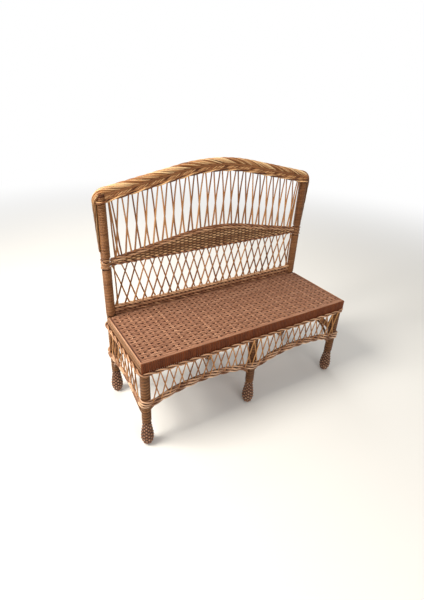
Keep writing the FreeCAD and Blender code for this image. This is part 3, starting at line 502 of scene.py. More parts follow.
for number, (corner, (x, y)) in enumerate(CORNERS.items()):
    lines = Lines()
    low, high = WEAVER / 2, FOOT_TOP - WEAVER / 2
    rounds = np.arange(0, (high - low) / WEAVER_PITCH, 1 / ROUND_POINTS)
    z = low + rounds * WEAVER_PITCH
    radius = weave_radius(z)
    spoke = np.stack([np.cos(rounds * math.tau), np.sin(rounds * math.tau), 0 * z], 1)
    points = spoke * radius[:, None] + np.stack([x + 0 * z, y + 0 * z, z], 1)
    lines.add(points, out=spoke * SWAY, face=spoke, turn=rounds * STAKES / 2)
    inward = np.arange(0, SOLE_ROUNDS, 1 / SOLE_POINTS)
    spoke = np.stack([np.cos(inward * math.tau), -np.sin(inward * math.tau), 0 * inward], 1)
    points = spoke * (radius[0] - inward * WEAVER)[:, None] + np.array([x, y, low])
    lines.add(points, face=(0, 0, -1))
    z = np.linspace(low, high, STAKE_POINTS)
    for stake in range(STAKES):
        turn = stake / STAKES * math.tau
        spoke = np.array([math.cos(turn), math.sin(turn), 0])
        points = spoke * weave_radius(z)[:, None] + np.stack([x + 0 * z, y + 0 * z, z], 1)
        lines.add(points, face=spoke, turn=0.5, slim=0.7)
    lay(f"{corner}_foot_weave", lines, foot_weave, [f"{corner}_foot"], width=WEAVER,
        thick=WEAVER_THICK, step=0.0026, uneven=0.12, seed=30 + number)


# Seat frame: sawn rails tenoned into the legs, and three bearers under the woven panel.
# It is plain softwood, planed and oiled, and shows only from below.
SAWN = {"dark": (120, 82, 52), "light": (168, 122, 82), "rough": 0.6}
dress(["front_seat_rail", "rear_seat_rail"], peeled("sawn_rail", **SAWN, grain_scale=(6, 90, 90)))
dress(["left_seat_rail", "right_seat_rail", "left_seat_bearer", "centre_seat_bearer", "right_seat_bearer"],
      peeled("sawn_bearer", **SAWN, grain_scale=(90, 6, 90)))


# Seat panel: pairs of pale rods run from front to back, and rows of two flat splits cross them,
# under one pair and over the next, turn about from row to row. Each dip shows as a dark dash, made
# darker by painted shade below a height. Wide thin splits laid side by side below them close the
# panel, and lie wholly in that painted shade.
PANEL_X, PANEL_FRONT, PANEL_BACK, ROWS, ROW_PITCH = 0.5425, -0.2065, 0.180, 27, 0.01435
POST_NOTCH_X, POST_NOTCH_Y = 0.508, 0.166
SEAT_MID, FLOAT, DIP, DIP_WIDTH, SPREAD, PLUMP = 0.4362, 0.0016, 0.0056, 0.0140, 0.0030, 0.33
TUCK, TUCK_WIDTH, SHADED_BELOW, UNSHADED_ABOVE = 0.003, 0.004, 0.4364, 0.4394
WARPS, WARP_PITCH, WARP_GAP, WARP_WAVE = range(-11, 12), 0.0468, 0.0029, 0.0006
UNDER_Z, UNDER_PLACES = 0.4322, (-0.0176, -0.0059, 0.0059, 0.0176)
ABOVE = (0, 0, 1)
# Painted shade: the seat splits darken towards a dark colour wherever they lie below a height.
seat_splits = willow("seat_splits", (120, 78, 56), (157, 111, 85), (189, 143, 114), rough=0.55, edge=0.15,
                     vary=0.3, shade_mask=lambda x, y, z, lift: 1 - z.ramp(SHADED_BELOW, UNSHADED_ABOVE),
                     shade_colour=(80, 42, 26))
seat_rods = willow("seat_rods", (124, 79, 56), (168, 119, 90), (214, 167, 134), rough=0.5, vary=0.4)


def across_bench(reach, y, z):
    """A straight line from left to right."""
    return [(x, y, z) for x in (-reach, 0, reach)]


def panel_back(x, clear):
    """Where a strand from the front ends: at the notch for the post, or at the panel's rear edge."""
    return POST_NOTCH_Y if abs(x) > POST_NOTCH_X - clear else PANEL_BACK


lines = Lines()
for row in range(ROWS):
    y = PANEL_FRONT + (row + 0.5) * ROW_PITCH
    reach = POST_NOTCH_X if y > POST_NOTCH_Y else PANEL_X
    x = np.linspace(-reach, reach, 320)
    z = np.full_like(x, SEAT_MID + FLOAT)
    apart, plump = np.full_like(x, ROW_PITCH / 4), np.ones_like(x)
    for warp in WARPS:
        near = np.exp(-(((x - warp * WARP_PITCH) / DIP_WIDTH) ** 2))
        under = (warp + row) % 2
        z -= under * DIP * near
        apart += (1 - 2 * under) * SPREAD * near
        plump += (1 - under) * PLUMP * near
    z -= TUCK * np.exp(-(((reach - abs(x)) / TUCK_WIDTH) ** 2))
    for half in (-1, 1):
        if (row, half) in ((0, -1), (ROWS - 1, 1)):
            lines.add(across_bench(reach, y + half * ROW_PITCH / 4, SEAT_MID + FLOAT), face=ABOVE)
        else:
            lines.add(np.stack([x, y + half * apart, z], 1), face=ABOVE, slim=plump)
lay("seat_splits", lines, seat_splits, ["seat_panel"], width=0.0076, thick=0.0038, step=0.0038,
    sides=5, wander=0.0007, uneven=0.06, seed=41)
rods, under_splits = Lines(), Lines()
front = PANEL_FRONT + 0.002
for warp in WARPS:
    middle_x = warp * WARP_PITCH
    y = np.linspace(front, panel_back(middle_x, 0.004), 90)
    z = SEAT_MID - WARP_WAVE * np.cos(math.pi * (y - PANEL_FRONT) / ROW_PITCH - math.pi / 2 + warp * math.pi)
    for half in (-1, 1):
        x = np.full_like(y, middle_x + half * WARP_GAP)
        rods.add(np.stack([x, y, z], 1), face=ABOVE)
    for beside in UNDER_PLACES:
        places = (front, 0, panel_back(middle_x, 0.022))
        under_splits.add([(middle_x + beside, y, UNDER_Z) for y in places], face=ABOVE)
lay("seat_rods", rods, seat_rods, ["seat_panel"], width=0.0055, thick=0.0050, step=0.0048,
    wander=0.0008, uneven=0.1, seed=42)
lay("seat_under_splits", under_splits, seat_splits, ["seat_panel"], width=0.0130, thick=0.0022,
    step=0.02, seed=43)


# Seat bands: close splits that hide the seat rails. In front and behind they stand upright and turn
# over the rail's top. At the sides they lie along the rail and go round the back post.
BAND_LOW, BAND_TOP, BAND_PITCH, BOUND = 0.386, 0.440, 0.0088, 0.0193
OVER_RAIL = ((0, BAND_LOW), (0, 0.41), (0, 0.4355), (0.0010, 0.4378), (0.0040, 0.4386))
EDGE_ROWS, EDGE_INSET = ((0.0062, 0.4390), (0.0124, 0.4388), (0.0006, 0.3890)), 0.004
UPRIGHT_THICK, SIDE_INSET, SIDE_STRIPS, SIDE_CLEAR = 0.0028, 0.0016, 5, 0.003
EDGE_ROD_X, EDGE_ROD_Z, EDGE_ROD_BACK = 0.5470, 0.4372, 0.168
# Painted shade: the upright splits in front and behind take a darker finish than the splits at the sides.
shaded_upright_band = willow("front_band_splits", (74, 33, 14), (102, 50, 22), (130, 69, 35), rough=0.6, edge=0.12,
                    coat=0, vary=0.25)
side_band = willow("side_band_splits", (84, 53, 32), (126, 87, 57), (170, 127, 90), rough=0.45, edge=0.6)
for name, hand, reach in (("front", -1, LEG_X + BOUND), ("rear", 1, LEG_X - 0.0003)):
    node = [f"{name}_seat_band"]
    uprights, edges = Lines(), Lines()
    face = LEG_Y + BOUND - UPRIGHT_THICK / 2
    count = round(2 * reach / BAND_PITCH)
    for number in range(count):
        x = -reach + (number + 0.5) * 2 * reach / count
        uprights.add([(x, hand * (face - inset), z) for inset, z in OVER_RAIL], face=(0, hand, 0.05))
    lay(f"{name}_band_splits", uprights, shaded_upright_band, node, width=BAND_PITCH * 1.02,
        thick=UPRIGHT_THICK, step=0.005, wander=0.0003, uneven=0.03, seed=50 + hand)
    for inset, z in EDGE_ROWS:
        edges.add(across_bench(reach - EDGE_INSET, hand * (face - inset), z), face=ABOVE)
    lay(f"{name}_edge_splits", edges, seat_splits, node, width=0.0078, thick=0.0030, step=0.006,
        wander=0.0004, uneven=0.05, seed=53 + hand)
for name, hand in (("left", -1), ("right", 1)):
    node = [f"{name}_seat_band"]
    strips, edge_rod = Lines(), Lines()
    face, front = BOUND - SIDE_INSET, PANEL_FRONT + 0.001
    bend = np.linspace(0, math.pi / 2, 9)
    round_post = [(hand * (LEG_X + face * math.cos(a)), LEG_Y + face * math.sin(a)) for a in bend]
    route = [(hand * (LEG_X + face), front), (hand * (LEG_X + face), 0)] + round_post
    outward = [(hand, 0, 0), (hand, 0, 0)] + [(hand * math.cos(a), math.sin(a), 0) for a in bend]
    for strip in range(SIDE_STRIPS):
        z = BAND_LOW + (strip + 0.5) * (BAND_TOP - BAND_LOW - SIDE_CLEAR) / SIDE_STRIPS
        strips.add([(px, py, z) for px, py in route], face=outward)
    lay(f"{name}_band_splits", strips, side_band, node, width=0.0092, thick=0.0030, step=0.008,
        wander=0.0006, uneven=0.1, seed=60 + hand)
    edge_rod.add([(hand * EDGE_ROD_X, y, EDGE_ROD_Z) for y in (front, 0, EDGE_ROD_BACK)], face=ABOVE)
    lay(f"{name}_edge_rod", edge_rod, seat_rods, node, width=0.0058, thick=0.0052, step=0.008,
        wander=0.0006, uneven=0.1, seed=62 + hand)


# Rear seat border: three ropes of waling along the back edge of the seat, each of three rods
# that turn round one another, worked on the feet of the back's lattice over a dark core: painted
# shade in the gaps between the rods.
ROPE_X, ROPE_RADIUS, ROW_TURN = 0.5112, 0.0045, 0.31
ROPE_ROWS, CORE_ROWS = (0.44115, 0.45945, 0.47775), (0.4462, 0.4503, 0.4586, 0.4686, 0.4778)
FRONT = (0, -1, 0)
border_rods = willow("border_rods", (104, 60, 38), (180, 126, 90), (244, 196, 152), edge=0.55, vary=1.0)
# Painted shade: dark core rods behind and between the ropes stand for the shade in their gaps.
core_shade = willow("core_shade", (58, 32, 19), (84, 50, 31), (112, 70, 44), rough=0.55)
ropes, core = Lines(), Lines()
for row, z in enumerate(ROPE_ROWS):
    ropes.rope(across_bench(ROPE_X, LEG_Y, z), FRONT, ROPE_RADIUS, turn=row * ROW_TURN)
for z in CORE_ROWS:
    core.add(across_bench(ROPE_X, LEG_Y, z), face=FRONT)
node = ["rear_seat_border"]
lay("rear_border_ropes", ropes, border_rods, node, width=0.0086, thick=0.0086, step=0.005,
    strands=3, turns=14.0, wander=0.001, uneven=0.12, seed=70)
lay("rear_border_core", core, core_shade, node, width=0.0105, thick=0.0060, step=0.01, seed=71)


# Apron borders: under the seat on all four sides a thin pale rope of two rods, made paler than the
# ropes below by painted light, and below it three such ropes side by side that rise in an arch between
# the legs. All bend round the corner legs. A stouter rod is bent into a hoop under the lower ropes in
# each bay, with its ends let into the legs.
APRON, ROPE_ROUND, ROUTE_STEP = 0.0248, math.pi / 4, 0.0064
HEM, HEM_TOP, HEM_LEAD, HEM_BLEND, HEM_STEP = 0.238, 0.3875, 0.014, 0.060, 0.0112
# For each side: outwards, along it, half its length, distance from the middle, bays, rise of the arch.
SIDES = {
    "front": (np.array([0, -1, 0]), np.array([1, 0, 0]), LEG_X, LEG_Y, [(-LEG_X, 0), (0, LEG_X)], 0.038),
    "rear": (np.array([0, 1, 0]), np.array([-1, 0, 0]), LEG_X, LEG_Y, [(-LEG_X, 0), (0, LEG_X)], 0.038),
    "left": (np.array([-1, 0, 0]), np.array([0, -1, 0]), LEG_Y, LEG_X, [(-LEG_Y, LEG_Y)], 0.028),
    "right": (np.array([1, 0, 0]), np.array([0, 1, 0]), LEG_Y, LEG_X, [(-LEG_Y, LEG_Y)], 0.028),
}


def hem(u, bays, rise):
    """Height of the lower border's middle rope at a place along its side."""
    z = np.full_like(u, HEM)
    for start, end in bays:
        half = (end - start) / 2 - HEM_LEAD
        both = (rise**2 + half**2) / (2 * rise)
        away = abs(u - (start + end) / 2)
        meet = half * (1 - HEM_BLEND / both)
        foot = HEM + HEM_BLEND - np.sqrt(np.maximum(HEM_BLEND**2 - (half - away) ** 2, 0))
        crown = both - HEM_BLEND
        arch = HEM + rise - crown + np.sqrt(np.maximum(crown**2 - away**2, 0))
        z = np.where(away < meet, arch, np.where(away < half, foot, z))
    return z


def round_legs(out, along, span, depth, height):
    """A route from one corner leg round to the next, with the outward direction at each point."""
    turn = np.linspace(0, ROPE_ROUND, 7)
    points, outward = [], []
    for a in turn[::-1]:
        outward.append(out * math.cos(a) - along * math.sin(a))
        points.append(out * depth - along * span + outward[-1] * APRON)
    u = np.linspace(-span, span, 2 * round(span / ROUTE_STEP) + 1)[1:-1]
    points += [out * (depth + APRON) + along * place for place in u]
    outward += [out] * len(u)
    for a in turn:
        outward.append(out * math.cos(a) + along * math.sin(a))
        points.append(out * depth + along * span + outward[-1] * APRON)
    points = np.array(points, float)
    points[:, 2] = height(np.clip(points @ along, -span, span))
    return points, np.array(outward, float)


def encircle(height, row, turns):
    """Routes along the four sides in turn, with strands that carry on round each corner leg."""
    routes, start = {}, 0.0
    for name in ("front", "right", "rear", "left"):
        out, along, span, depth, bays, rise = SIDES[name]
        points, outward = round_legs(out, along, span, depth, lambda u: height(u, bays, rise))
        steps = np.gradient(points, axis=0)
        points[:, 2] += row * HEM_STEP / np.sqrt(1 - (steps[:, 2] / np.linalg.norm(steps, axis=1)) ** 2)
        reach = np.linalg.norm(np.diff(points, axis=0), axis=1).cumsum()
        routes[name] = points, outward, start + np.append(0, reach)
        start += reach[-1]
    closing = round(start * turns) / start
    return {name: (points, outward, reach * closing) for name, (points, outward, reach) in routes.items()}


def on_side(out, along, away, u, z):
    """Points on one side of the bench: away from its middle, u along the side, z high."""
    return np.outer(away + 0 * u, out) + np.outer(u, along) + np.outer(z, ABOVE)


UPPER_OVAL, UPPER_TURNS, UPPER_INSETS = (0.0028, 0.0060), 10.0, (0, 0.0040)
LOWER_OVAL, LOWER_TURNS, LOWER_ROWS, LOWER_SHIFT = (0.0028, 0.0044), 9.0, (-1, -0.5, 0, 0.5, 1), 0.37
# A hoop's end by distance from its leg, then how far hoops stand out, lie below the ropes and drop.
HOOP_REACH = (0.012, 0.028, 0.046, 0.066, 0.086, 0.106)
HOOP_DROP = (0.086, 0.062, 0.040, 0.022, 0.009, 0.000)
HOOP_STAND = (0.30, 0.60, 0.80, 0.92, 1.00, 1.00)
SHORT_HOOP, LONG_HOOP = (0.021, 0.020, 0.76), (0.004, 0.006, 0.55)
CROWN_FROM, CROWN_POINTS = 0.120, 17
apron_rods = willow("apron_rods", (104, 64, 42), (184, 135, 102), (240, 200, 164), rough=0.45, edge=0.55,
                    vary=1.0)
# Painted light: the upper rope's finish is lighter than the lower ropes', against the shade under the seat's
# edge.
lit_upper_rods = willow("lit_upper_rods", (150, 102, 72), (222, 174, 136), (252, 222, 190), rough=0.45, edge=0.5)
upper = encircle(lambda u, bays, rise: np.full_like(u, HEM_TOP), 0, UPPER_TURNS)
lower = {row: encircle(hem, row, LOWER_TURNS) for row in LOWER_ROWS}
for number, (name, (out, along, span, depth, bays, rise)) in enumerate(SIDES.items()):
    node = [f"{name}_upper_border"]
    points, outward, turn = upper[name]
    ropes, core = Lines(), Lines()
    ropes.rope(points, outward, UPPER_OVAL, turn=turn)
    for inset in UPPER_INSETS:
        core.add(points - outward * inset, face=outward)
    lay(f"{name}_upper_rope", ropes, lit_upper_rods, node, width=0.0068, thick=0.0062, step=0.004,
        strands=2, wander=0.0012, uneven=0.16, seed=80)
    # Dark core: painted shade behind the rope.
    lay(f"{name}_upper_core", core, core_shade, node, width=0.0110, thick=0.0044, step=0.012,
        seed=84 + number)
    halves = [name] if len(bays) == 1 else [f"{name}_left", f"{name}_right"]
    nodes = [f"{half}_lower_border" for half in halves]
    ropes, core, hoops = Lines(), Lines(), Lines()
    for row in LOWER_ROWS:
        points, outward, turn = lower[row][name]
        core.add(points, face=outward)
        if row in (-1, 0, 1):
            ropes.rope(points, outward, LOWER_OVAL, turn=turn + row * LOWER_SHIFT)
    lay(f"{name}_lower_ropes", ropes, apron_rods, nodes, width=0.0066, thick=0.0060, step=0.004,
        strands=2, wander=0.0012, uneven=0.16, seed=90)
    # Dark core: painted shade behind and between the ropes.
    lay(f"{name}_lower_core", core, core_shade, nodes, width=0.0078, thick=0.0040, step=0.012,
        seed=94 + number)
    stand, below, steep = SHORT_HOOP if len(bays) == 1 else LONG_HOOP
    for start, end in bays:
        from_leg = np.append(HOOP_REACH, np.linspace(CROWN_FROM, (end - start) / 2, CROWN_POINTS))
        u = np.concatenate([start + from_leg, end - from_leg[-2::-1]])
        from_leg = np.minimum(u - start, end - u)
        z = hem(u, bays, rise) - below - steep * np.interp(from_leg, HOOP_REACH, HOOP_DROP)
        away = depth + stand * np.interp(from_leg, HOOP_REACH, HOOP_STAND)
        hoops.add(on_side(out, along, away, u, z), face=out)
    lay(f"{name}_hoop", hoops, side_band, nodes, width=0.0124, thick=0.0116, step=0.006,
        sides=8, wander=0.001, uneven=0.15, seed=98 + number)


# Apron lattices: thin round rods that lean one way on the outside of the ropes and the other way
# on the inside, with both ends tucked between the rods of the ropes.
CROSS_PITCH, CROSS_LEAN, CROSS_ROD, LONG_COUNT, SHORT_COUNT = 0.038, 0.036, 0.0054, 27, 9
OUTSIDE, INSIDE = (1, 0.0026), (-1, -0.0027)
lattice_rods = willow("lattice_rods", (112, 70, 39), (164, 111, 66), (212, 156, 100), rough=0.45)
for number, (name, (out, along, span, depth, bays, rise)) in enumerate(SIDES.items()):
    lines = Lines()
    count = LONG_COUNT if span > LEG_Y else SHORT_COUNT
    first = -((count - 1) * CROSS_PITCH + CROSS_LEAN) / 2
    share = np.linspace(0, 1, 9)
    for rod in range(count):
        foot = first + rod * CROSS_PITCH
        for hand, stand in (OUTSIDE, INSIDE):
            u = hand * (foot + CROSS_LEAN * share)
            low = float(hem(np.array([hand * foot]), bays, rise)[0])
            z = low + (HEM_TOP - low) * share
            lines.add(on_side(out, along, depth + APRON + stand, u, z), face=out)
    lay(f"{name}_lattice", lines, lattice_rods, [f"{name}_apron_lattice"], width=CROSS_ROD,
        thick=CROSS_ROD, step=0.012, wander=0.004, uneven=0.2, seed=100 + number)


# Back lattices: long thin rods that cross above and below the mid band, one set leaning right in
# front and one leaning left behind. They bend a little where they pass, and their ends are woven in.
class Arch:
    """The back's outline: a round crown that runs out into straight slopes."""

    def __init__(self, crown, fall, half, bend=0.950):
        self.crown, self.bend = crown, bend
        self.slope = math.atan2(half, bend - fall) - math.acos(bend / math.hypot(bend - fall, half))

    def lean(self, x, drop):
        """How far the line has turned from level, at x."""
        reach = (self.bend - drop) * math.sin(self.slope)
        return np.arcsin(np.clip(x, -reach, reach) / (self.bend - drop))

    def height(self, x, drop):
        """The line's height at x, where it lies a drop inside the outline."""
        lean = self.lean(x, drop)
        turned = self.bend - drop
        straight = np.maximum(abs(x) - turned * math.sin(self.slope), 0)
        return self.crown - self.bend + turned * np.cos(lean) - straight * math.tan(self.slope)


def in_back(x, z, stand=0.0):
    """Points in the plane of the back, or in front of it by stand."""
    return np.stack([x, LEG_Y - stand + 0 * x, z + 0 * x], 1)


back = Arch(crown=1.094, fall=0.0886, half=0.531)
middle = Arch(crown=0.790, fall=0.078, half=0.5104)
BACK_PITCH, BACK_RODS, BACK_ROD, FULLER, PASSING = 0.043, 23, 0.0064, 1.08, 0.00015


def cross(name, lean, low, high, bow, ends, seed):
    """Two sets of leaning rods from one edge to another, with short rods at the ends."""
    share = np.linspace(0, 1, 13)
    taper = 1.14 - 0.3 * share
    feet = -((BACK_RODS - 1) * BACK_PITCH + lean) / 2 + np.arange(BACK_RODS) * BACK_PITCH
    for layer, hand in (("front", 1), ("rear", -1)):
        lines = Lines()
        spans = [foot + lean * share + bow * np.sin(share * math.tau) for foot in feet]
        spans += [start + (end - start) * share for start, end in ends]
        for span in spans:
            x = hand * span
            bottom, top = float(low(x[0])), float(high(x[-1]))
            points = in_back(x, bottom + (top - bottom) * share, hand * (BACK_ROD / 2 + PASSING))
            lines.add(points, face=FRONT, slim=taper)
        lay(f"{name}_{layer}_weave", lines, lattice_rods, [f"{name}_lattice_{layer}_rods"],
            width=BACK_ROD * FULLER, thick=BACK_ROD * FULLER, step=0.010, wander=0.006, uneven=0.2,
            seed=seed - hand)


cross("upper", lean=0.029, low=lambda x: middle.height(x, 0.004), high=lambda x: back.height(x, 0.048),
      bow=0.0008, ends=[(-0.490, -0.502), (0.472, 0.498)], seed=110)
cross("lower", lean=0.067, low=lambda x: 0.482, high=lambda x: 0.680, bow=0.0008, ends=[(-0.496, -0.500)],
      seed=120)


# Mid band: a lens of close weaving across the back. Each row is one rod, in front of a stake and behind
# the next, turn about from row to row, on stakes at half the lattice's pitch. Two ropes follow the
# arch above it and one the straight edge below.
MID_X, MID_LOW, ARCH_CLEAR = 0.5100, 0.6825, 0.011
BAND_ROWS, BAND_ROW, FIRST_ROW, ROW_DROP, BAND_SWAY = 14, 0.0064, 0.0080, 0.0225, 0.0032
STAKE_PITCH, STAKE_PLACES, STAKE_DROP = BACK_PITCH / 2, (-0.0172, -0.0086, 0, 0.0086, 0.0172), 0.012
ARCH_ROPES, ARCH_CORES = ((0.006, 0.0), (0.0172, 0.35)), (0.006, 0.0120, 0.0180, 0.0236)
ARCH_OVAL, LOW_OVAL = (0.0038, 0.0034), (0.0044, 0.0046)
# Painted shade: the band's rods darken near the back's middle plane, where rows pass between the stakes, and
# the stakes there too.
band_rods = willow("band_rods", (106, 66, 40), (166, 118, 78), (228, 182, 134), edge=0.3,
                   shade_mask=lambda x, y, z, lift: (1 - abs(y - LEG_Y).ramp(0.0020, 0.0052)) * 0.72)
arch_rods = willow("arch_rods", (108, 64, 42), (184, 130, 94), (240, 194, 150), edge=0.6, vary=1.0)
x = np.linspace(-MID_X, MID_X, 385)
weave, stakes = Lines(), Lines()
for row in range(BAND_ROWS):
    z = MID_LOW + FIRST_ROW + row * BAND_ROW
    inside = x[middle.height(x, ROW_DROP) > z - BAND_ROW * 0.3]
    if len(inside) > 8:
        sway = BAND_SWAY * np.cos(math.pi * (inside / STAKE_PITCH + row))
        weave.add(in_back(inside, z, sway), face=FRONT)
lay("mid_band_weave", weave, band_rods, ["mid_band"], width=0.0070, thick=0.0052, step=0.0034,
    wander=0.001, uneven=0.16, seed=130)
for stake in range(-11, 12):
    for beside in STAKE_PLACES:
        place = stake * BACK_PITCH + beside
        top = float(middle.height(np.array([place]), STAKE_DROP)[0])
        stakes.add([(place, LEG_Y, MID_LOW), (place, LEG_Y, top)], face=FRONT)
lay("mid_band_stakes", stakes, band_rods, ["mid_band"], width=0.0098, thick=0.0040, step=0.012,
    wander=0.001, seed=133)


def arch_line(drop):
    """A line along the arch, a drop below its crown, that stops over the lower rope."""
    return in_back(x, np.maximum(middle.height(x, drop), MID_LOW + ARCH_CLEAR))


ropes, core = Lines(), Lines()
for drop, turn in ARCH_ROPES:
    ropes.rope(arch_line(drop), FRONT, ARCH_OVAL, turn=turn)
for drop in ARCH_CORES:
    core.add(arch_line(drop), face=FRONT)
node = ["mid_upper_border"]
lay("mid_upper_ropes", ropes, arch_rods, node, width=0.0062, thick=0.0056, step=0.004,
    strands=3, turns=9.0, wander=0.0014, uneven=0.16, seed=131)
# Dark core: painted shade behind and between the ropes.
lay("mid_upper_core", core, core_shade, node, width=0.0080, thick=0.0050, step=0.01, seed=134)
rope, core = Lines(), Lines()
rope.rope(in_back(x, MID_LOW), FRONT, LOW_OVAL)
core.add(in_back(x, MID_LOW), face=FRONT)
node = ["mid_lower_border"]
lay("mid_lower_rope", rope, arch_rods, node, width=0.0074, thick=0.0068, step=0.004, strands=2,
    turns=16.0, wander=0.0014, uneven=0.14, seed=132)
# Dark core: painted shade behind the rope.
lay("mid_lower_core", core, core_shade, node, width=0.0100, thick=0.0050, step=0.01, seed=135)


# Lashings: four loops that tie the ends of the mid band to each post. Each is a pair of rods laid
# together, which come out of the band's borders, go once round the post and tuck in behind.
LOOPS, LOOP_OVAL, LOOP_START, LOOP_END = (0.6748, 0.6856, 0.6962, 0.7070), (0.0016, 0.0028), 0.06, 0.94
LASHED, LOOP_VARIES, LOOP_TILT = POLE + 0.0058, 0.0012, 0.0016
lash_rods = willow("lash_rods", (102, 62, 38), (164, 116, 80), (214, 168, 124), edge=0.8, vary=0.4)
for number, (hand, inward) in enumerate((("left", 1), ("right", -1))):
    x, y = CORNERS[f"rear_{hand}"]
    lines = Lines()
    turn = np.linspace(LOOP_START, LOOP_END, 41) * math.tau
    spoke = np.stack([inward * np.cos(turn), -np.sin(turn), 0 * turn], 1)
    for loop, height in enumerate(LOOPS):
        points = spoke * (LASHED + LOOP_VARIES * math.cos(loop * 2.4)) + np.array([x, y, height])
        points[:, 2] += LOOP_TILT * np.sin(turn + loop * 1.7)
        lines.rope(points, spoke, LOOP_OVAL, turn=loop * 0.3)
    lay(f"{hand}_lashing", lines, lash_rods, [f"{hand}_mid_lashing"], width=0.0052, thick=0.0054,
        step=0.002, strands=2, turns=14.0, uneven=0.16, wander=0.0010, seed=140 + number)


# Top rail: a bent pole across the posts, wound with four bundles of rods that climb to the right. A
# rope of two rods runs before and behind it and bends round the posts' heads, which are wound too.
# A steel nail through each end holds it on its post.
RAIL_X, RAIL_DROP, ROPE_DROP, LEAN_DROP, ROUND_HEAD = 0.516, 0.0403, 0.0515, 0.05, 0.0246
RAIL_BUNDLE = ((-0.066, 0.0090), (0, 0.0108), (0.066, 0.0090))
ROPE_SPREAD_X, ROPE_OFF, RAIL_OVAL = 0.488, 0.0149, (0.0024, 0.0034)
HEAD_RADIUS, HEAD_RUN, HEAD_PLUG = POLE + 0.0048, (0.9480, 0.9860), (0.9700, 0.9850)
rail_splits = willow("rail_splits", (84, 44, 23), (174, 114, 69), (246, 194, 138), edge=0.85, vary=1.2)
rail_core = willow("rail_core", (92, 53, 30), (134, 86, 51), (174, 120, 76), rough=0.5)
splits, core, ropes = Lines(), Lines(), Lines()
x = np.linspace(-RAIL_X, RAIL_X, 121)
lean = back.lean(x, RAIL_DROP)
up = np.stack([np.sin(lean), 0 * x, np.cos(lean)], 1)
points = in_back(x, back.height(x, RAIL_DROP))
for beside, radius in RAIL_BUNDLE:
    splits.rope(points, up, radius, turn=beside)
lay("top_rail_splits", splits, rail_splits, ["top_rail"], width=0.0050, thick=0.0052, step=0.0045,
    strands=4, turns=-6.8, uneven=0.16, wander=0.0012, seed=150)
core.add(points, face=up)
for beside in (-0.008, 0.008):
    core.add(points + up * 0.0125 + np.array([0, beside, 0]), face=up, slim=0.7)
    core.add(points - up * 0.0074 + np.array([0, beside * 1.2, 0]), face=up, slim=0.5)
lay("top_rail_core", core, rail_core, ["top_rail"], width=0.0185, thick=0.0185, step=0.01, sides=10,
    seed=152)
bend = np.linspace(0.25, math.pi / 2, 9)
x = np.linspace(-LEG_X, LEG_X, 121)[1:-1]
off = np.interp(abs(x), [ROPE_SPREAD_X, LEG_X], [ROPE_OFF, ROUND_HEAD])
x = np.concatenate([-LEG_X - ROUND_HEAD * np.cos(bend), x, LEG_X + ROUND_HEAD * np.cos(bend[::-1])])
off = np.concatenate([ROUND_HEAD * np.sin(bend), off, ROUND_HEAD * np.sin(bend[::-1])])
z = back.height(np.clip(x, -LEG_X, LEG_X), ROPE_DROP)
lean = back.lean(x, LEAN_DROP)
up = np.stack([np.sin(lean), 0 * x, np.cos(lean)], 1)
for hand in (-1, 1):
    ropes.rope(in_back(x, z, -hand * off), up, RAIL_OVAL)
lay("top_waling_ropes", ropes, rail_splits, ["top_waling"], width=0.0064, thick=0.0066,
    step=0.004, strands=2, turns=-9.0, wander=0.0012, uneven=0.14, seed=151)
for number, hand in enumerate(("left", "right")):
    x, y = CORNERS[f"rear_{hand}"]
    lines = Lines()
    lines.add([(x, y, z) for z in HEAD_RUN], out=(HEAD_RADIUS, 0, 0), side=(0, HEAD_RADIUS, 0))
    lines.add([(x, y, z) for z in HEAD_PLUG], face=(1, 0, 0), slim=4.6)
    lay(f"{hand}_head_turns", lines, rail_splits, [f"{hand}_post_binding"], width=0.0074,
        thick=0.0052, step=0.0005, turns=125.0, uneven=0.12, wander=0.0012, seed=153 + number)
steel, g = blank("nail_steel")
place = g.node("ShaderNodeTexCoord", out="Object")
rust = g.node("ShaderNodeTexNoise", sockets={"Vector": place, "Scale": 400, "Detail": 3})
sockets = {
    "Base Color": g.mix(rust.ramp(0.5, 0.7), tint(150, 148, 144), tint(110, 74, 50)),
    "Roughness": rust * 0.4 + 0.25,
    "Metallic": 1.0,
}
shank = g.node("ShaderNodeBsdfPrincipled", sockets=sockets)
g.node("ShaderNodeOutputMaterial", sockets={"Surface": shank})
dress(["top_rail_nails"], steel)


# Top braid: a thick plait over the top rail, bundles of three pale rods with dark ones in the grooves
# between, which slope down to the right on the front; the groove rods' dark finish is painted shade.
# It bends over both shoulders and runs out in a thin tail down the outside of each post, with a dark
# rod on each side of the tail; its rods take painted shade down the shoulders into the tails.
SHOULDER_X, SHOULDER_Z, SHOULDER, TAIL_END, TAIL_FACE = 0.5116, 0.9481, 0.046, 0.7481, 0.5506
BRAID_THICK, BRAID_WIDE, BRAID_DROP = 0.028, 0.038, 0.014
NECK_THICK, NECK_WIDE, TAIL_THICK, TAIL_WIDE = 0.014, 0.030, 0.005, 0.016
BRAID_ROD, BUNDLES, BRAID_TURNS = 0.0058, 6, 4.2
CROWNS, GROOVES = ((-0.24, 0.0016), (0, 0), (0.24, 0.0016)), ((-0.44, 0.0052), (0.44, 0.0052))
BESIDE_X, BESIDE_Y, BESIDE_END = 0.5468, 0.0085, TAIL_END + 0.012


def tail_shade(x, y, z, lift):
    """Painted shade, darker from the shoulders down to the tails."""
    return (1 - z.ramp(0.90, 0.99)) * 0.5


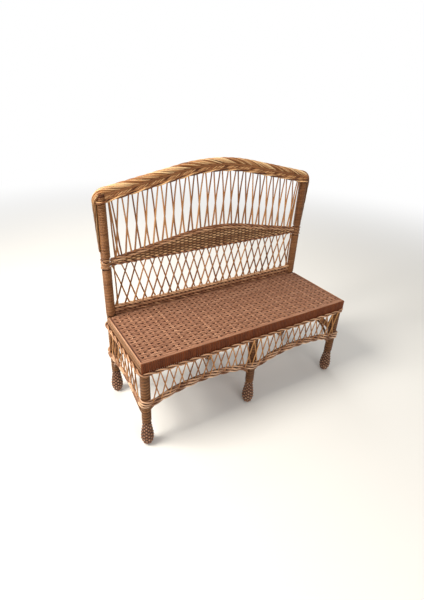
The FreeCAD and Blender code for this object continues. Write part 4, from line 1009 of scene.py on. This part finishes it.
braid_crowns = willow("braid_crowns", (104, 58, 30), (184, 126, 76), (252, 218, 166), rough=0.4, edge=0.7,
                      shade_mask=tail_shade)
# Painted shade: the groove rods are given a dark finish.
braid_groove_shade = willow("braid_groove_shade", (46, 23, 11), (86, 51, 27), (136, 92, 55), rough=0.45, edge=0.75,
                     shade_mask=tail_shade)
half_route = []
for share in np.linspace(1, 0, 16)[:-1]:
    thick = NECK_THICK + (TAIL_THICK - NECK_THICK) * share
    width = NECK_WIDE + (TAIL_WIDE - NECK_WIDE) * share
    z = SHOULDER_Z + (TAIL_END - SHOULDER_Z) * share
    half_route.append((TAIL_FACE + thick / 2, z, 1, 0, thick, width))
for turn in np.linspace(math.pi / 2, back.slope, 14):
    share = (turn - back.slope) / (math.pi / 2 - back.slope)
    thick = BRAID_THICK - (BRAID_THICK - NECK_THICK) * share
    width = BRAID_WIDE - (BRAID_WIDE - NECK_WIDE) * share
    across, above = math.sin(turn), math.cos(turn)
    x, z = SHOULDER_X + SHOULDER * across, SHOULDER_Z + SHOULDER * above
    half_route.append((x, z, across, above, thick, width))
meet = half_route[-1][0]
x = np.linspace(-meet, meet, 161)[1:-1]
lean = back.lean(x, BRAID_DROP)
thick, width = np.full_like(x, BRAID_THICK), np.full_like(x, BRAID_WIDE)
route = [(-px, pz, -across, above, t, w) for px, pz, across, above, t, w in half_route]
route += list(zip(x, back.height(x, BRAID_DROP), np.sin(lean), np.cos(lean), thick, width))
route += half_route[::-1]
px, pz, across, above, thick, width = (np.array(column) for column in zip(*route))
points = in_back(px, pz)
outward = np.stack([across, 0 * across, above], 1)
slim = np.clip(thick / BRAID_THICK, 0.3, 1)
tall, wide = ((size - BRAID_ROD * slim) / 2 for size in (thick, width))
for name, finish, bundle, seed in (
    ("crowns", braid_crowns, CROWNS, 160),
    ("sides", braid_groove_shade, GROOVES, 162),
):
    lines = Lines()
    for beside, sink in bundle:
        ring = (tall - sink * slim, wide - sink * slim)
        lines.rope(points, outward, ring, turn=beside / BUNDLES, slim=slim)
    lay(f"top_braid_{name}", lines, finish, ["top_braid"], width=0.0050, thick=BRAID_ROD, step=0.005,
        strands=BUNDLES, turns=BRAID_TURNS, wander=0.0016, uneven=0.2, seed=seed)
core = Lines()
core.add(points, face=outward, slim=slim)
for hand in (-1, 1):
    for beside in (-BESIDE_Y, BESIDE_Y):
        ends = [(hand * BESIDE_X, LEG_Y + beside, z) for z in (SHOULDER_Z, BESIDE_END)]
        core.add(ends, face=(hand, 0, 0), slim=0.3)
lay("top_braid_core", core, rail_core, ["top_braid"], width=0.025, thick=0.015, step=0.008, sides=10,
    seed=161)
